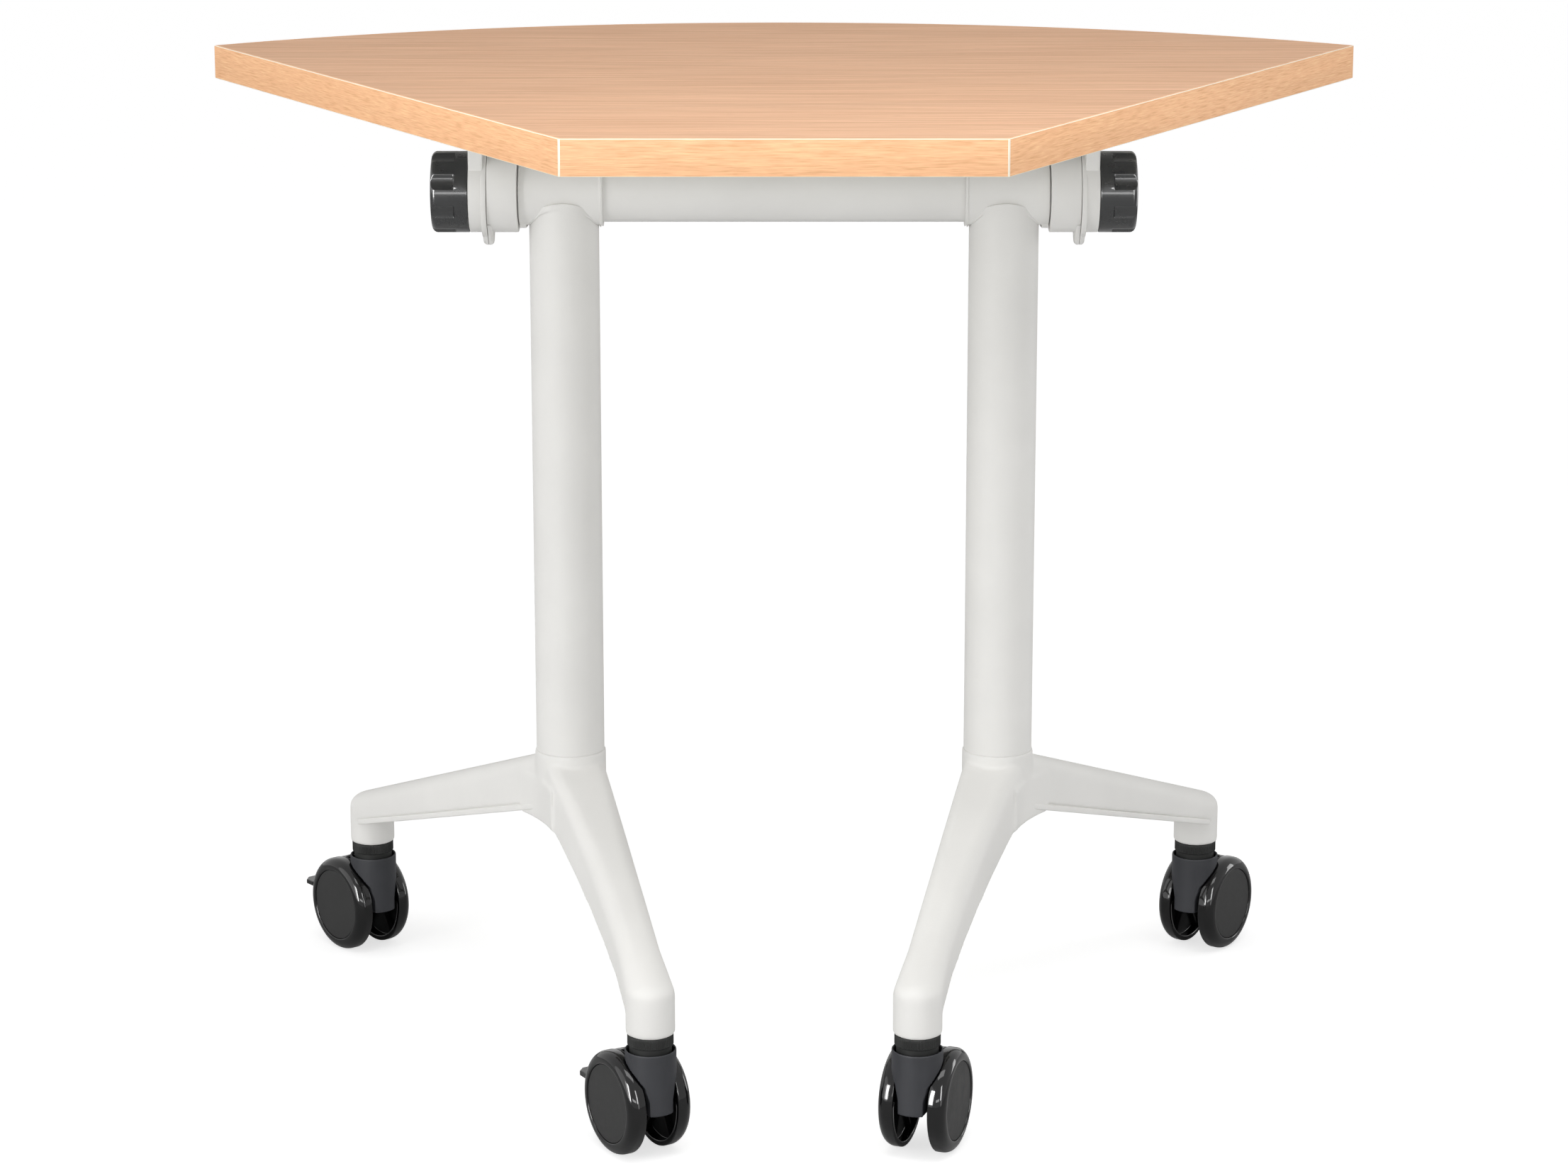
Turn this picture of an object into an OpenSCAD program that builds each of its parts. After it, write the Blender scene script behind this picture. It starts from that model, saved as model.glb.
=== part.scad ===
// Wedge-shaped tilting desk on two posts with splayed feet and twin-wheel casters.
// Origin: on the floor under the middle of the board. +X right, +Y away from the near edge, +Z up.

/* [Table top] */
// Height of the work surface above the floor
top_height = 740; // [725:1:780]
// Thickness of the finished board
board_thick = 25; // [20:0.5:30]
// Length of the straight near edge
near_edge = 292; // [280:1:380]
// Length of each slanted side edge
side_edge = 576; // [560:1:680]
// Angle between the two side edges
wedge_angle = 60; // [54:1:66]
// Rise of the curved back edge over its chord
arc_rise = 150; // [120:5:180]
// Thickness of the edge banding
band_thick = 2; // [1:0.5:3]
// Thickness of each laminate sheet
laminate_thick = 0.8; // [0.5:0.1:1.2]

/* [Beam and clamps] */
// Distance from the underside of the board to the tilt axis
axis_drop = 60.5; // [56:0.5:66]
// Outside diameter of the cross beam
beam_d = 44; // [40:0.5:46]
// Wall of the cross beam
beam_wall = 2.5; // [2:0.25:3.5]
// Outside diameter of the sleeve of the tee casting
tee_d = 48.4; // [48:0.2:50]
// Length of the sleeve of the tee casting
tee_len = 61; // [60:0.2:66]
// Diameter of the fixed and the tilting clamp rings
ring_d = 58.8; // [56:0.2:62]
// Length of the fixed clamp ring
fixed_ring_len = 21.8; // [20:0.2:26]
// Length of the tilting clamp ring
tilt_ring_len = 12.9; // [12:0.1:16]
// Thickness of one index tab under a clamp ring
tab_thick = 3.8; // [3:0.1:5]
// Reach of the index tabs below the tilt axis
tab_reach = 39; // [36:0.5:42]
// Diameter of the clamp knob
knob_d = 59; // [54:0.5:62]
// Length of the clamp knob
knob_len = 28.3; // [24:0.1:32]
// Number of finger recesses round the knob
knob_recesses = 8; // [6:1:10]
// Diameter of the threaded clamp stud
stud_d = 12; // [10:1:14]
// Length of the bracket plate under the board
plate_len = 110; // [96:2:130]
// Width of the bracket plate
plate_width = 66; // [60:1:72]
// Thickness of the bracket plate
plate_thick = 5; // [4:0.5:7]
// Thickness of the bracket web
web_thick = 10.6; // [9:0.2:12]
// Diameter of the bracket screws
screw_d = 5; // [4:0.5:6]
// Depth of the bracket screws in the board
screw_depth = 16; // [10:1:17]

/* [Posts and feet] */
// Distance of each post from the plane of symmetry
post_x = 160; // [155:1:175]
// Distance of the posts behind the middle of the board
post_y = 3; // [-5:1:10]
// Outside diameter of the posts
post_d = 50.8; // [50.2:0.1:52]
// Wall of the posts
post_wall = 2; // [1.5:0.25:3]
// Height of the joint between post and foot
hub_top = 234; // [226:1:240]
// Diameter of the foot hub
hub_d = 53; // [52.4:0.1:56]
// Length of the spigot of the foot inside the post
foot_spigot_len = 40; // [25:1:60]
// Diameter of the tie rod inside each post
tie_rod_d = 10; // [8:1:12]
// Length of each front arm from post to caster
front_arm_len = 239; // [230:1:250]
// Angle by which each front arm turns inwards
front_arm_angle = 16; // [10:1:22]
// Length of each rear arm from post to caster
rear_arm_len = 277; // [265:1:290]
// Angle by which each rear arm turns outwards
rear_arm_angle = 38.4; // [32:0.2:44]
// Width of an arm where it leaves the hub
arm_root_w = 48; // [44:1:50]
// Width of the front arms at their waist
arm_waist_w = 33.8; // [32:0.2:38]
// Diameter of the caster boss at the end of an arm
boss_d = 35; // [34:0.5:38]
// Height of the rim bead along the underside of an arm
bead_h = 4.5; // [3:0.25:6]

/* [Casters] */
// Diameter of the caster wheels
wheel_d = 75; // [73:0.5:76]
// Width of one caster wheel
wheel_w = 12.6; // [12:0.2:16]
// Gap between the two wheels of a caster
wheel_gap = 25.4; // [25:0.2:27]
// Distance from the swivel axis back to the wheel axis
caster_offset = 20; // [19:0.5:22]
// Height of the underside of the caster bosses above the floor
caster_height = 92.5; // [91:0.5:97]
// Diameter of the caster stem
stem_d = 11; // [10:0.5:12]
// Length of the caster stem inside the boss
stem_grip = 30; // [24:1:34]
// Diameter of the caster housing
housing_d = 36.6; // [36:0.2:40]
// Width of the housing between the wheels
tongue_w = 18.8; // [17:0.2:20]
// Diameter of the ribbed collar on the caster stem
collar_d = 32.8; // [31:0.2:34]
// Height of the ribbed part of the collar
collar_h = 8.2; // [5:0.1:9]
// Number of ribs round the collar
collar_ribs = 48; // [30:2:60]
// Width of the brake pedal
pedal_w = 38; // [30:1:44]
// Length of the brake pedal
pedal_len = 14.5; // [8:0.5:18]
// Diameter of the wheel axle
axle_d = 8; // [6:0.5:9]
// Diameter of the flat wheel cap
cap_d = 56.6; // [52:0.2:58]

/* [Hidden] */
$fn = 64;
// Radial running clearance of pins in bores
fit = 0.05;
// Gap between faces of bodies that move on each other
slip = 0.3;
// Overshoot of cutting solids
cut = 1;

// Board outline
half_angle = wedge_angle / 2;
chord_depth = side_edge * cos(half_angle);
half_chord = near_edge / 2 + side_edge * sin(half_angle);
board_depth = chord_depth + arc_rise;
near_y = -board_depth / 2;
arc_r = (half_chord * half_chord + arc_rise * arc_rise) / (2 * arc_rise);
arc_centre_y = near_y + board_depth - arc_r;
under_z = top_height - board_thick;
core_bottom = under_z + laminate_thick;
core_top = top_height - laminate_thick;

// Tilt axis and stations along it, measured from the plane of symmetry
axis_z = under_z - axis_drop;
tee_inner_part = 0.475;
tee_inner_x = post_x - tee_len * tee_inner_part;
tee_outer_x = tee_inner_x + tee_len;
ring_gap = 0.8;
fixed_ring_x = tee_outer_x + ring_gap;
tilt_ring_x = fixed_ring_x + fixed_ring_len + slip;
knob_x = tilt_ring_x + tilt_ring_len + slip;
ring_spigot_len = 20;
beam_bore_d = beam_d - 2 * beam_wall;
bush_wall = 2;
bush_d = stud_d + 2 * bush_wall;
washer_t = 1.5;
washer_rim = 6;
washer_d = stud_d + 2 * washer_rim;
insert_wall = 4;
insert_d = stud_d + 2 * insert_wall;
insert_len = 15;
stud_inner_x = fixed_ring_x - ring_spigot_len;
stud_outer_x = knob_x + insert_len + 2;
tab_r = 6.2;

// Bracket under the board
web_x = tilt_ring_x + tilt_ring_len - web_thick;
web_half = 22.8;
plate_x0 = tilt_ring_x + tilt_ring_len / 2 - plate_width / 2;
plate_bottom = under_z - plate_thick;
screw_edge_x = 9;
screw_edge_y = 12;
screw_head_d = 9.5;
screw_head_h = 3.2;
screw_xs = [plate_x0 + screw_edge_x, plate_x0 + plate_width - screw_edge_x];
screw_ys = [-plate_len / 2 + screw_edge_y, plate_len / 2 - screw_edge_y];
gusset_t = 6;

// Arched seam between post and tee casting
arch_r = 30;
arch_peak_drop = 9;
arch_centre_z = axis_z - arch_peak_drop - arch_r;
arch_band = 4;
post_bore_d = post_d - 2 * post_wall;
tee_spigot_len = 45;
tee_spigot_z = arch_centre_z - tee_spigot_len;
tee_screw_d = 4;
tee_screw_edge = 8;
tee_screw_xs = [tee_inner_x + tee_screw_edge, tee_outer_x - tee_screw_edge];
tee_screw_tip = beam_bore_d / 2 - 2;
tie_rod_bottom = hub_top - 52;
tie_rod_grip = 30;
tie_rod_top = tee_spigot_z + tie_rod_grip;
nut_d = tie_rod_d * 1.9;
nut_h = tie_rod_d * 0.8;
nut_z = tie_rod_bottom + 3;
nut_room = 2;

// Feet
foot_rise = hub_top - caster_height;
hub_bottom = hub_top - 56;
hub_taper_h = 12;
hub_taper_r = 9;
arm_root_x = 10;
arm_top_root = hub_top - 3;
arm_under_root = hub_top - 46;
shoulder_part = 0.27;
underside_part = 0.11;
arm_top_end = caster_height + foot_rise * shoulder_part;
arm_under_end = caster_height + foot_rise * underside_part;
arm_edge_r = 9;
arm_flank_r = 3;
arm_flank_h = 4;
arm_edge_inset = 10;
waist_part = 0.5;
waist_sink = 1.9;
// Steps of the domed shoulder: drop below its top, cut of the radius, and height
shoulder_steps = [[9, 1.7, 5], [4, 5.5, 3], [1, 9.5, 1]];
bead_out = 0.9;
bead_end = 12.4;
crotch_r = 150;
crotch_half_w = arm_root_w / 2 - 0.6;
crotch_top = hub_top - 22;
crotch_drop = 8;
arm_wall = 5;
hollow_taper = 0.7;
hollow_roof = [16, 10];
hollow_tip_wall = 6.2;
hollow_root_gap = 4;
hollow_tip_gap = 2;
hollow_reach = 12;

// Casters
wheel_r = wheel_d / 2;
wheel_in = wheel_gap / 2;
wheel_out = wheel_in + wheel_w;
rim_flat = 0.2;
rim_round = (wheel_w - rim_flat) / 2;
rim_wall = 4;
cap_recess = 0.8;
cap_t = 1.5;
web_t = 3;
hub_r = 7.2;
tooth_r = 12.6;
tooth_ring_t = 2;
ring_teeth = 36;
wheel_ribs = 6;
wheel_rib_t = 1.8;
wheel_clear = 1.1;
tooth_w = 0.8;
tooth_h = 1.6;
tooth_len = 6;
slab_half = tongue_w / 2;
cup_half = wheel_in - 1.2;
collar_gap = 3.3;
cup_top = caster_height - collar_h - collar_gap;
cup_bottom = wheel_r + 9;
tongue_bottom = wheel_r - 1.5;
cup_wall = 1.2;
recess_r = housing_d / 2 - cup_wall;
recess_floor = cup_top - 6;
neck_wall = 9.5;
neck_d = stem_d + 2 * neck_wall;
socket_bottom = wheel_r + 10;
hood_r = wheel_r - 0.6;
hood_t = 3;
hood_end = 27;
axle_boss_r = 6.5;
lever_x = caster_offset + 16;
lever_z = wheel_r + 8.5;
lever_half = 6;
slot_half = lever_half + 0.5;
pivot_d = 4;
lever_eye_r = 4.6;
pedal_x0 = caster_offset + wheel_r + 4;
pedal_x1 = pedal_x0 + pedal_len;
pedal_t = 3.6;
pedal_z = wheel_r + 5.5;
pedal_corner = 5;

// Casters in order: name, side of the desk, front or rear, heading outwards from +Y
CASTERS = ["front_left", "front_right", "rear_left", "rear_right"];
CASTER_SIDE = [-1, 1, -1, 1];
CASTER_FRONT = [true, true, false, false];
CASTER_HEADING = [31, 20, 39, 34];
BRAKED = [0, 2];

function front_end() = [post_x - front_arm_len * sin(front_arm_angle), post_y - front_arm_len * cos(front_arm_angle)];
function rear_end() = [post_x + rear_arm_len * sin(rear_arm_angle), post_y + rear_arm_len * cos(rear_arm_angle)];
function caster_xy(c) = let (p = CASTER_FRONT[c] ? front_end() : rear_end()) [CASTER_SIDE[c] * p.x, p.y];
function heading(c) = 90 - CASTER_SIDE[c] * CASTER_HEADING[c];

WHITE = "#dededa";
BEECH = "#e8c49c";
BEECH_EDGE = "#f4c896";
BLACK = "#17181a";
GREY = "#3c3e43";
STEEL = "#b4b6b8";

// Draws its children on the right, or mirrored on the left
module on_side(side) {
    if (side < 0) mirror([1, 0, 0]) children();
    else children();
}

// Solid round bar along the tilt axis from station x0 to x1
module axis_bar(d, x0, x1) {
    translate([x0, post_y, axis_z]) rotate([0, 90, 0]) cylinder(d = d, h = x1 - x0);
}

// Straight-sided wedge of the board, drawn in by a distance
module wedge(inset) {
    x0 = near_edge / 2 - inset * (1 - sin(half_angle)) / cos(half_angle);
    reach = board_depth * 1.2;
    x1 = x0 + reach * tan(half_angle);
    polygon([[-x0, near_y + inset], [x0, near_y + inset], [x1, near_y + inset + reach], [-x1, near_y + inset + reach]]);
}

// Disc whose rim is the curved back edge, drawn in by a distance
module back_disc(inset) {
    translate([0, arc_centre_y]) circle(r = arc_r - inset, $fn = 360);
}

module board_slab(inset, z0, z1) {
    translate([0, 0, z0]) linear_extrude(z1 - z0) intersection() {
        wedge(inset);
        back_disc(inset);
    }
}

module screw_grid() {
    for (side = [-1, 1]) on_side(side)
        for (x = screw_xs, y = screw_ys) translate([x, post_y + y, 0]) children();
}

module board_core() {
    color(BEECH) difference() {
        board_slab(band_thick, core_bottom, core_top);
        screw_grid() translate([0, 0, core_bottom - cut]) cylinder(d = screw_d + 2 * fit, h = screw_depth + cut);
    }
}

module top_laminate() {
    color(BEECH) board_slab(band_thick, core_top, top_height);
}

module underside_laminate() {
    color(WHITE) difference() {
        board_slab(band_thick, under_z, core_bottom);
        screw_grid() translate([0, 0, under_z - cut]) cylinder(d = screw_d + 2 * fit, h = laminate_thick + 2 * cut);
    }
}

// Straight strip along the near edge, mitred at both ends
module near_edge_band() {
    x0 = near_edge / 2;
    x1 = x0 - band_thick * (1 - sin(half_angle)) / cos(half_angle);
    color(BEECH_EDGE) translate([0, 0, under_z]) linear_extrude(board_thick)
        polygon([[-x0, near_y], [x0, near_y], [x1, near_y + band_thick], [-x1, near_y + band_thick]]);
}

// Strip along one slanted edge, mitred at the near corner and cut by the back curve
module side_edge_band(side) {
    x0 = near_edge / 2;
    x1 = x0 - band_thick * (1 - sin(half_angle)) / cos(half_angle);
    run = board_depth * 1.1;
    shift = run * tan(half_angle);
    color(BEECH_EDGE) on_side(side) translate([0, 0, under_z]) linear_extrude(board_thick) intersection() {
        polygon([[x0, near_y], [x0 + shift, near_y + run], [x1 + shift, near_y + band_thick + run],
            [x1, near_y + band_thick]]);
        back_disc(0);
    }
}

module back_edge_band() {
    color(BEECH_EDGE) translate([0, 0, under_z]) linear_extrude(board_thick) difference() {
        intersection() {
            wedge(band_thick);
            back_disc(0);
        }
        back_disc(band_thick);
    }
}

// Index tab that hangs under a clamp ring, from station x0 to x1
module index_tab(x0, x1) {
    root = ring_d / 2 - 8;
    tip = tab_reach - tab_r;
    translate([x0, post_y, axis_z]) rotate([90, 0, 90]) linear_extrude(x1 - x0) {
        translate([0, -tip]) circle(r = tab_r);
        polygon([[-root, -root], [root, -root], [tab_r, -tip], [-tab_r, -tip]]);
    }
}

// Clamp ring that carries the board: ring with rim lip, web, plate and two gussets
module tilt_bracket(side) {
    ring_end = tilt_ring_x + tilt_ring_len;
    web_in = web_x - tilt_ring_x;
    gusset_x0 = plate_x0 + 6;
    gusset_z0 = axis_z + ring_d / 2 + 3;
    gusset_tip = 3;
    lip_r = ring_d / 2 + 1.6;
    lip_drop = 2.2;
    washer_play = 0.5;
    hole_play = 0.3;
    color(WHITE) on_side(side) difference() {
        union() {
            axis_bar(ring_d, tilt_ring_x, ring_end);
            translate([0, 0, -lip_drop]) axis_bar(2 * lip_r, tilt_ring_x, tilt_ring_x + tab_thick);
            index_tab(tilt_ring_x, tilt_ring_x + tab_thick);
            translate([tilt_ring_x + web_in, post_y - web_half, axis_z])
                cube([web_thick, 2 * web_half, plate_bottom - axis_z + cut]);
            translate([plate_x0, post_y - plate_len / 2, plate_bottom]) cube([plate_width, plate_len, plate_thick]);
            for (y = [-web_half, web_half - gusset_t]) translate([0, post_y + y + gusset_t, 0])
                rotate([90, 0, 0]) linear_extrude(gusset_t)
                    polygon([[web_x + cut, gusset_z0], [web_x + cut, plate_bottom + cut],
                        [gusset_x0, plate_bottom + cut], [gusset_x0, plate_bottom - gusset_tip]]);
        }
        axis_bar(bush_d, tilt_ring_x - cut, ring_end + cut);
        axis_bar(washer_d + 2 * washer_play, ring_end - washer_t + slip, ring_end + cut);
        for (x = screw_xs, y = screw_ys) translate([x, post_y + y, plate_bottom - cut])
            cylinder(d = screw_d + 2 * hole_play, h = plate_thick + 2 * cut);
    }
}

module bracket_screws() {
    slot = [5.2, 1.2, 1.6];
    color(STEEL) screw_grid() {
        translate([0, 0, plate_bottom]) cylinder(d = screw_d, h = plate_thick + laminate_thick + screw_depth - 2);
        difference() {
            translate([0, 0, plate_bottom - screw_head_h]) cylinder(d = screw_head_d, h = screw_head_h);
            for (a = [0, 90]) rotate(a) translate([-slot.x / 2, -slot.y / 2, plate_bottom - screw_head_h - cut])
                cube([slot.x, slot.y, cut + slot.z]);
        }
    }
}

// Plain bush in each tilting ring, turning on the clamp stud
module pivot_bushes() {
    x0 = tilt_ring_x + slip;
    x1 = tilt_ring_x + tilt_ring_len - washer_t;
    color(GREY) for (side = [-1, 1]) on_side(side) difference() {
        axis_bar(bush_d, x0, x1);
        axis_bar(stud_d + 2 * fit, x0 - cut, x1 + cut);
    }
}

module cross_beam() {
    color(WHITE) difference() {
        axis_bar(beam_d, -tee_outer_x, tee_outer_x);
        axis_bar(beam_bore_d, -tee_outer_x - cut, tee_outer_x + cut);
        for (side = [-1, 1]) on_side(side) for (x = tee_screw_xs) translate([x, post_y, axis_z])
            rotate([-90, 0, 0]) cylinder(d = tee_screw_d, h = beam_d);
    }
}

// Sleeve round the beam with a saddle and a spigot that stand in the top of the post
module tee_casting(side) {
    lip_t = 2;
    lip_h = 1.1;
    toe_t = 5;
    toe_h = 2.2;
    toe_w = 18;
    color(WHITE) on_side(side) difference() {
        union() {
            axis_bar(tee_d, tee_inner_x, tee_outer_x);
            axis_bar(tee_d + 2 * lip_h, tee_inner_x, tee_inner_x + lip_t);
            intersection() {
                axis_bar(tee_d + 2 * toe_h, tee_outer_x - toe_t, tee_outer_x);
                translate([post_x, post_y - toe_w / 2, axis_z - tee_d]) cube([tee_len, toe_w, tee_d]);
            }
            difference() {
                translate([post_x, post_y, arch_centre_z]) cylinder(d = tee_d, h = axis_z - arch_centre_z);
                arch_prism(arch_r);
            }
            intersection() {
                translate([post_x, post_y, arch_centre_z]) cylinder(d = post_d + 0.8, h = arch_r + arch_band);
                difference() {
                    arch_prism(arch_r + arch_band);
                    arch_prism(arch_r);
                }
            }
            translate([post_x, post_y, tee_spigot_z])
                cylinder(d = post_bore_d - 2 * fit, h = arch_centre_z + 10 - tee_spigot_z);
            intersection() {
                translate([post_x, post_y, arch_centre_z]) cylinder(d = post_bore_d - 2 * fit, h = arch_r + arch_band);
                arch_prism(arch_r + cut);
            }
        }
        axis_bar(beam_d + 0.1, tee_inner_x - cut, tee_outer_x + cut);
        translate([post_x, post_y, tee_spigot_z - cut]) cylinder(d = tie_rod_d, h = tie_rod_top - tee_spigot_z + 2 * cut);
        for (x = tee_screw_xs) translate([x, post_y, axis_z])
            rotate([-90, 0, 0]) cylinder(d = tee_screw_d + 0.1, h = tee_d);
    }
}

// Round-topped prism that fills everything below the arched seam
module arch_prism(r) {
    translate([post_x, post_y + post_d, arch_centre_z]) rotate([90, 0, 0]) cylinder(r = r, h = 2 * post_d, $fn = 120);
}

// Button screws that lock the tees to the beam from behind
module tee_screws() {
    head_z = tee_d / 2 + 0.1;
    head_h = 2.2;
    socket_d = 2.5;
    color(STEEL) for (side = [-1, 1]) on_side(side) for (x = tee_screw_xs)
        translate([x, post_y, axis_z]) rotate([-90, 0, 0]) {
            translate([0, 0, tee_screw_tip]) cylinder(d = tee_screw_d, h = head_z + head_h / 4 - tee_screw_tip);
            difference() {
                translate([0, 0, head_z]) cylinder(d = tee_screw_d * 1.9, h = head_h);
                translate([0, 0, head_z + head_h / 2]) cylinder(d = socket_d, h = head_h, $fn = 6);
            }
        }
}

// Fixed ring that plugs into the end of the beam
module clamp_ring(side) {
    ring_end = fixed_ring_x + fixed_ring_len;
    color(WHITE) on_side(side) difference() {
        union() {
            axis_bar(ring_d, fixed_ring_x, ring_end);
            axis_bar(beam_bore_d - 2 * fit, stud_inner_x, fixed_ring_x + cut);
            index_tab(ring_end - tab_thick, ring_end);
        }
        axis_bar(stud_d, stud_inner_x - cut, ring_end + cut);
        translate([tee_screw_xs[1], post_y, axis_z]) rotate([-90, 0, 0])
            translate([0, 0, tee_screw_tip - 0.2]) cylinder(d = tee_screw_d + 0.1, h = beam_wall + 3);
    }
}

module clamp_studs() {
    color(STEEL) for (side = [-1, 1]) on_side(side) axis_bar(stud_d, stud_inner_x, stud_outer_x);
}

module thrust_washers() {
    x0 = tilt_ring_x + tilt_ring_len - washer_t + slip;
    color(STEEL) for (side = [-1, 1]) on_side(side) difference() {
        axis_bar(washer_d, x0, x0 + washer_t - slip / 2);
        axis_bar(stud_d, x0 - cut, x0 + washer_t + cut);
    }
}

// Clamp knob with rounded outer rim, slightly domed face and finger recesses
module knob(side) {
    round = 4;
    recess_r = 10;
    recess_sink = 2.2;
    recess_len = knob_len * 0.66;
    dome_r = 260;
    color(BLACK) on_side(side) difference() {
        translate([knob_x, post_y, axis_z]) rotate([0, 90, 0]) rotate_extrude() intersection() {
            union() {
                square([knob_d / 2, knob_len - round]);
                square([knob_d / 2 - round, knob_len]);
                translate([knob_d / 2 - round, knob_len - round]) circle(r = round);
            }
            translate([0, knob_len - dome_r]) circle(r = dome_r, $fn = 360);
        }
        translate([knob_x, post_y, axis_z]) rotate([0, 90, 0])
            for (i = [0:knob_recesses - 1]) rotate(22.5 + i * 360 / knob_recesses)
                translate([knob_d / 2 - recess_sink + recess_r, 0, knob_len - recess_len])
                    cylinder(r = recess_r, h = recess_len + cut);
        axis_bar(insert_d, knob_x - cut, knob_x + insert_len);
        axis_bar(stud_d + 1, knob_x - cut, stud_outer_x + slip);
    }
}

// Threaded brass insert in the knob
module knob_insert(side) {
    color("#c9a227") on_side(side) difference() {
        axis_bar(insert_d, knob_x + slip, knob_x + insert_len);
        axis_bar(stud_d + 2 * fit, knob_x, knob_x + insert_len + cut);
    }
}

module post(side) {
    color(WHITE) on_side(side) difference() {
        union() {
            translate([post_x, post_y, hub_top]) cylinder(d = post_d, h = arch_centre_z - hub_top);
            intersection() {
                translate([post_x, post_y, arch_centre_z - cut]) cylinder(d = post_d, h = arch_r + 2 * cut);
                arch_prism(arch_r);
            }
        }
        translate([post_x, post_y, hub_top - cut]) cylinder(d = post_bore_d, h = axis_z - hub_top);
        axis_bar(tee_d + 4 * fit, tee_inner_x, tee_outer_x);
    }
}

module tie_rods() {
    color(STEEL) for (side = [-1, 1]) on_side(side)
        translate([post_x, post_y, tie_rod_bottom]) cylinder(d = tie_rod_d, h = tie_rod_top - tie_rod_bottom);
}

module tie_rod_nuts() {
    color(STEEL) for (side = [-1, 1]) on_side(side) translate([post_x, post_y, nut_z]) difference() {
        cylinder(d = nut_d, h = nut_h, $fn = 6);
        translate([0, 0, -cut]) cylinder(d = tie_rod_d, h = nut_h + 2 * cut);
    }
}

function arm_part(x, len) = (x - arm_root_x) / (len - arm_root_x);
function arm_top(x, len) = arm_top_root + (arm_top_end - arm_top_root) * arm_part(x, len);
function arm_under(x, len) = arm_under_root + (arm_under_end - arm_under_root) * arm_part(x, len);

// Section of an arm at a distance from the hub, with rounded upper edges, to be hulled with the next
module arm_section(x, len, width, middle) {
    for (t = [-1, 1]) translate([x, middle, 0]) {
        translate([0, t * (width / 2 - arm_edge_inset), arm_top(x, len) - arm_edge_r]) sphere(r = arm_edge_r, $fn = 32);
        translate([0, t * (width / 2 - arm_flank_r), arm_under(x, len)]) cylinder(r = arm_flank_r, h = arm_flank_h, $fn = 24);
    }
}

// Domed shoulder over the caster boss
module arm_shoulder(len) {
    translate([len, 0, arm_under_end]) cylinder(d = boss_d, h = arm_top_end - arm_under_end - shoulder_steps[0][0], $fn = 40);
    for (step = shoulder_steps) translate([len, 0, arm_top_end - step[0]])
        cylinder(r = boss_d / 2 - step[1], h = step[2], $fn = 40);
}

// Front arm, drawn along +X: narrower at its waist than at either end
module front_arm_body() {
    len = front_arm_len;
    waist_x = len * waist_part;
    hull() {
        arm_section(arm_root_x, len, arm_root_w, 0);
        arm_section(waist_x, len, arm_waist_w, -waist_sink);
    }
    hull() {
        arm_section(waist_x, len, arm_waist_w, -waist_sink);
        arm_shoulder(len);
    }
}

// Rear arm, drawn along +X, with a bead along its lower rim that runs out at the flanks of the boss
module rear_arm_body() {
    len = rear_arm_len;
    hull() {
        arm_section(arm_root_x, len, arm_root_w, 0);
        arm_shoulder(len);
    }
    hull() {
        translate([arm_root_x, 0, arm_under_root]) cylinder(d = arm_root_w + 2 * bead_out, h = bead_h, $fn = 40);
        translate([len - bead_end, 0, arm_under(len - bead_end, len)])
            cylinder(d = boss_d + 2 * bead_out, h = bead_h, $fn = 40);
    }
}

// Hollow under an arm, open below
module arm_hollow(len, root_w) {
    root_r = root_w / 2 - arm_wall;
    tip_r = boss_d / 2 - hollow_tip_wall;
    xs = [hub_d / 2 + root_r + hollow_root_gap, len - boss_d / 2 - tip_r - hollow_tip_gap];
    rs = [root_r, tip_r];
    hull() for (i = [0, 1]) {
        translate([xs[i], 0, arm_under(xs[i], len) - hollow_reach]) cylinder(r = rs[i], h = 1, $fn = 24);
        translate([xs[i], 0, arm_top(xs[i], len) - hollow_roof[i]]) cylinder(r = rs[i] * hollow_taper, h = 1, $fn = 24);
    }
}

module at_arm(which) {
    turn = which == 0 ? -90 - front_arm_angle : 90 - rear_arm_angle;
    translate([post_x, post_y, 0]) rotate(turn) children();
}

// Fillet between the flanks of the two arms on the outer side of a foot
module crotch() {
    open_half = 90 - (rear_arm_angle - front_arm_angle) / 2;
    corner_x = crotch_half_w / sin(open_half);
    run = crotch_r / tan(open_half);
    tangent = [corner_x + run * cos(open_half), run * sin(open_half)];
    translate([post_x, post_y, arm_under_root - crotch_drop]) rotate(-(rear_arm_angle + front_arm_angle) / 2)
        linear_extrude(crotch_top - arm_under_root + crotch_drop) difference() {
            polygon([[0, 0], [tangent.x, -tangent.y], tangent]);
            translate([corner_x + crotch_r / sin(open_half), 0]) circle(r = crotch_r, $fn = 360);
        }
}

// Round bar or bore on the axis of a post
module post_bar(d, z0, z1) {
    translate([post_x, post_y, z0]) cylinder(d = d, h = z1 - z0);
}

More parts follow.
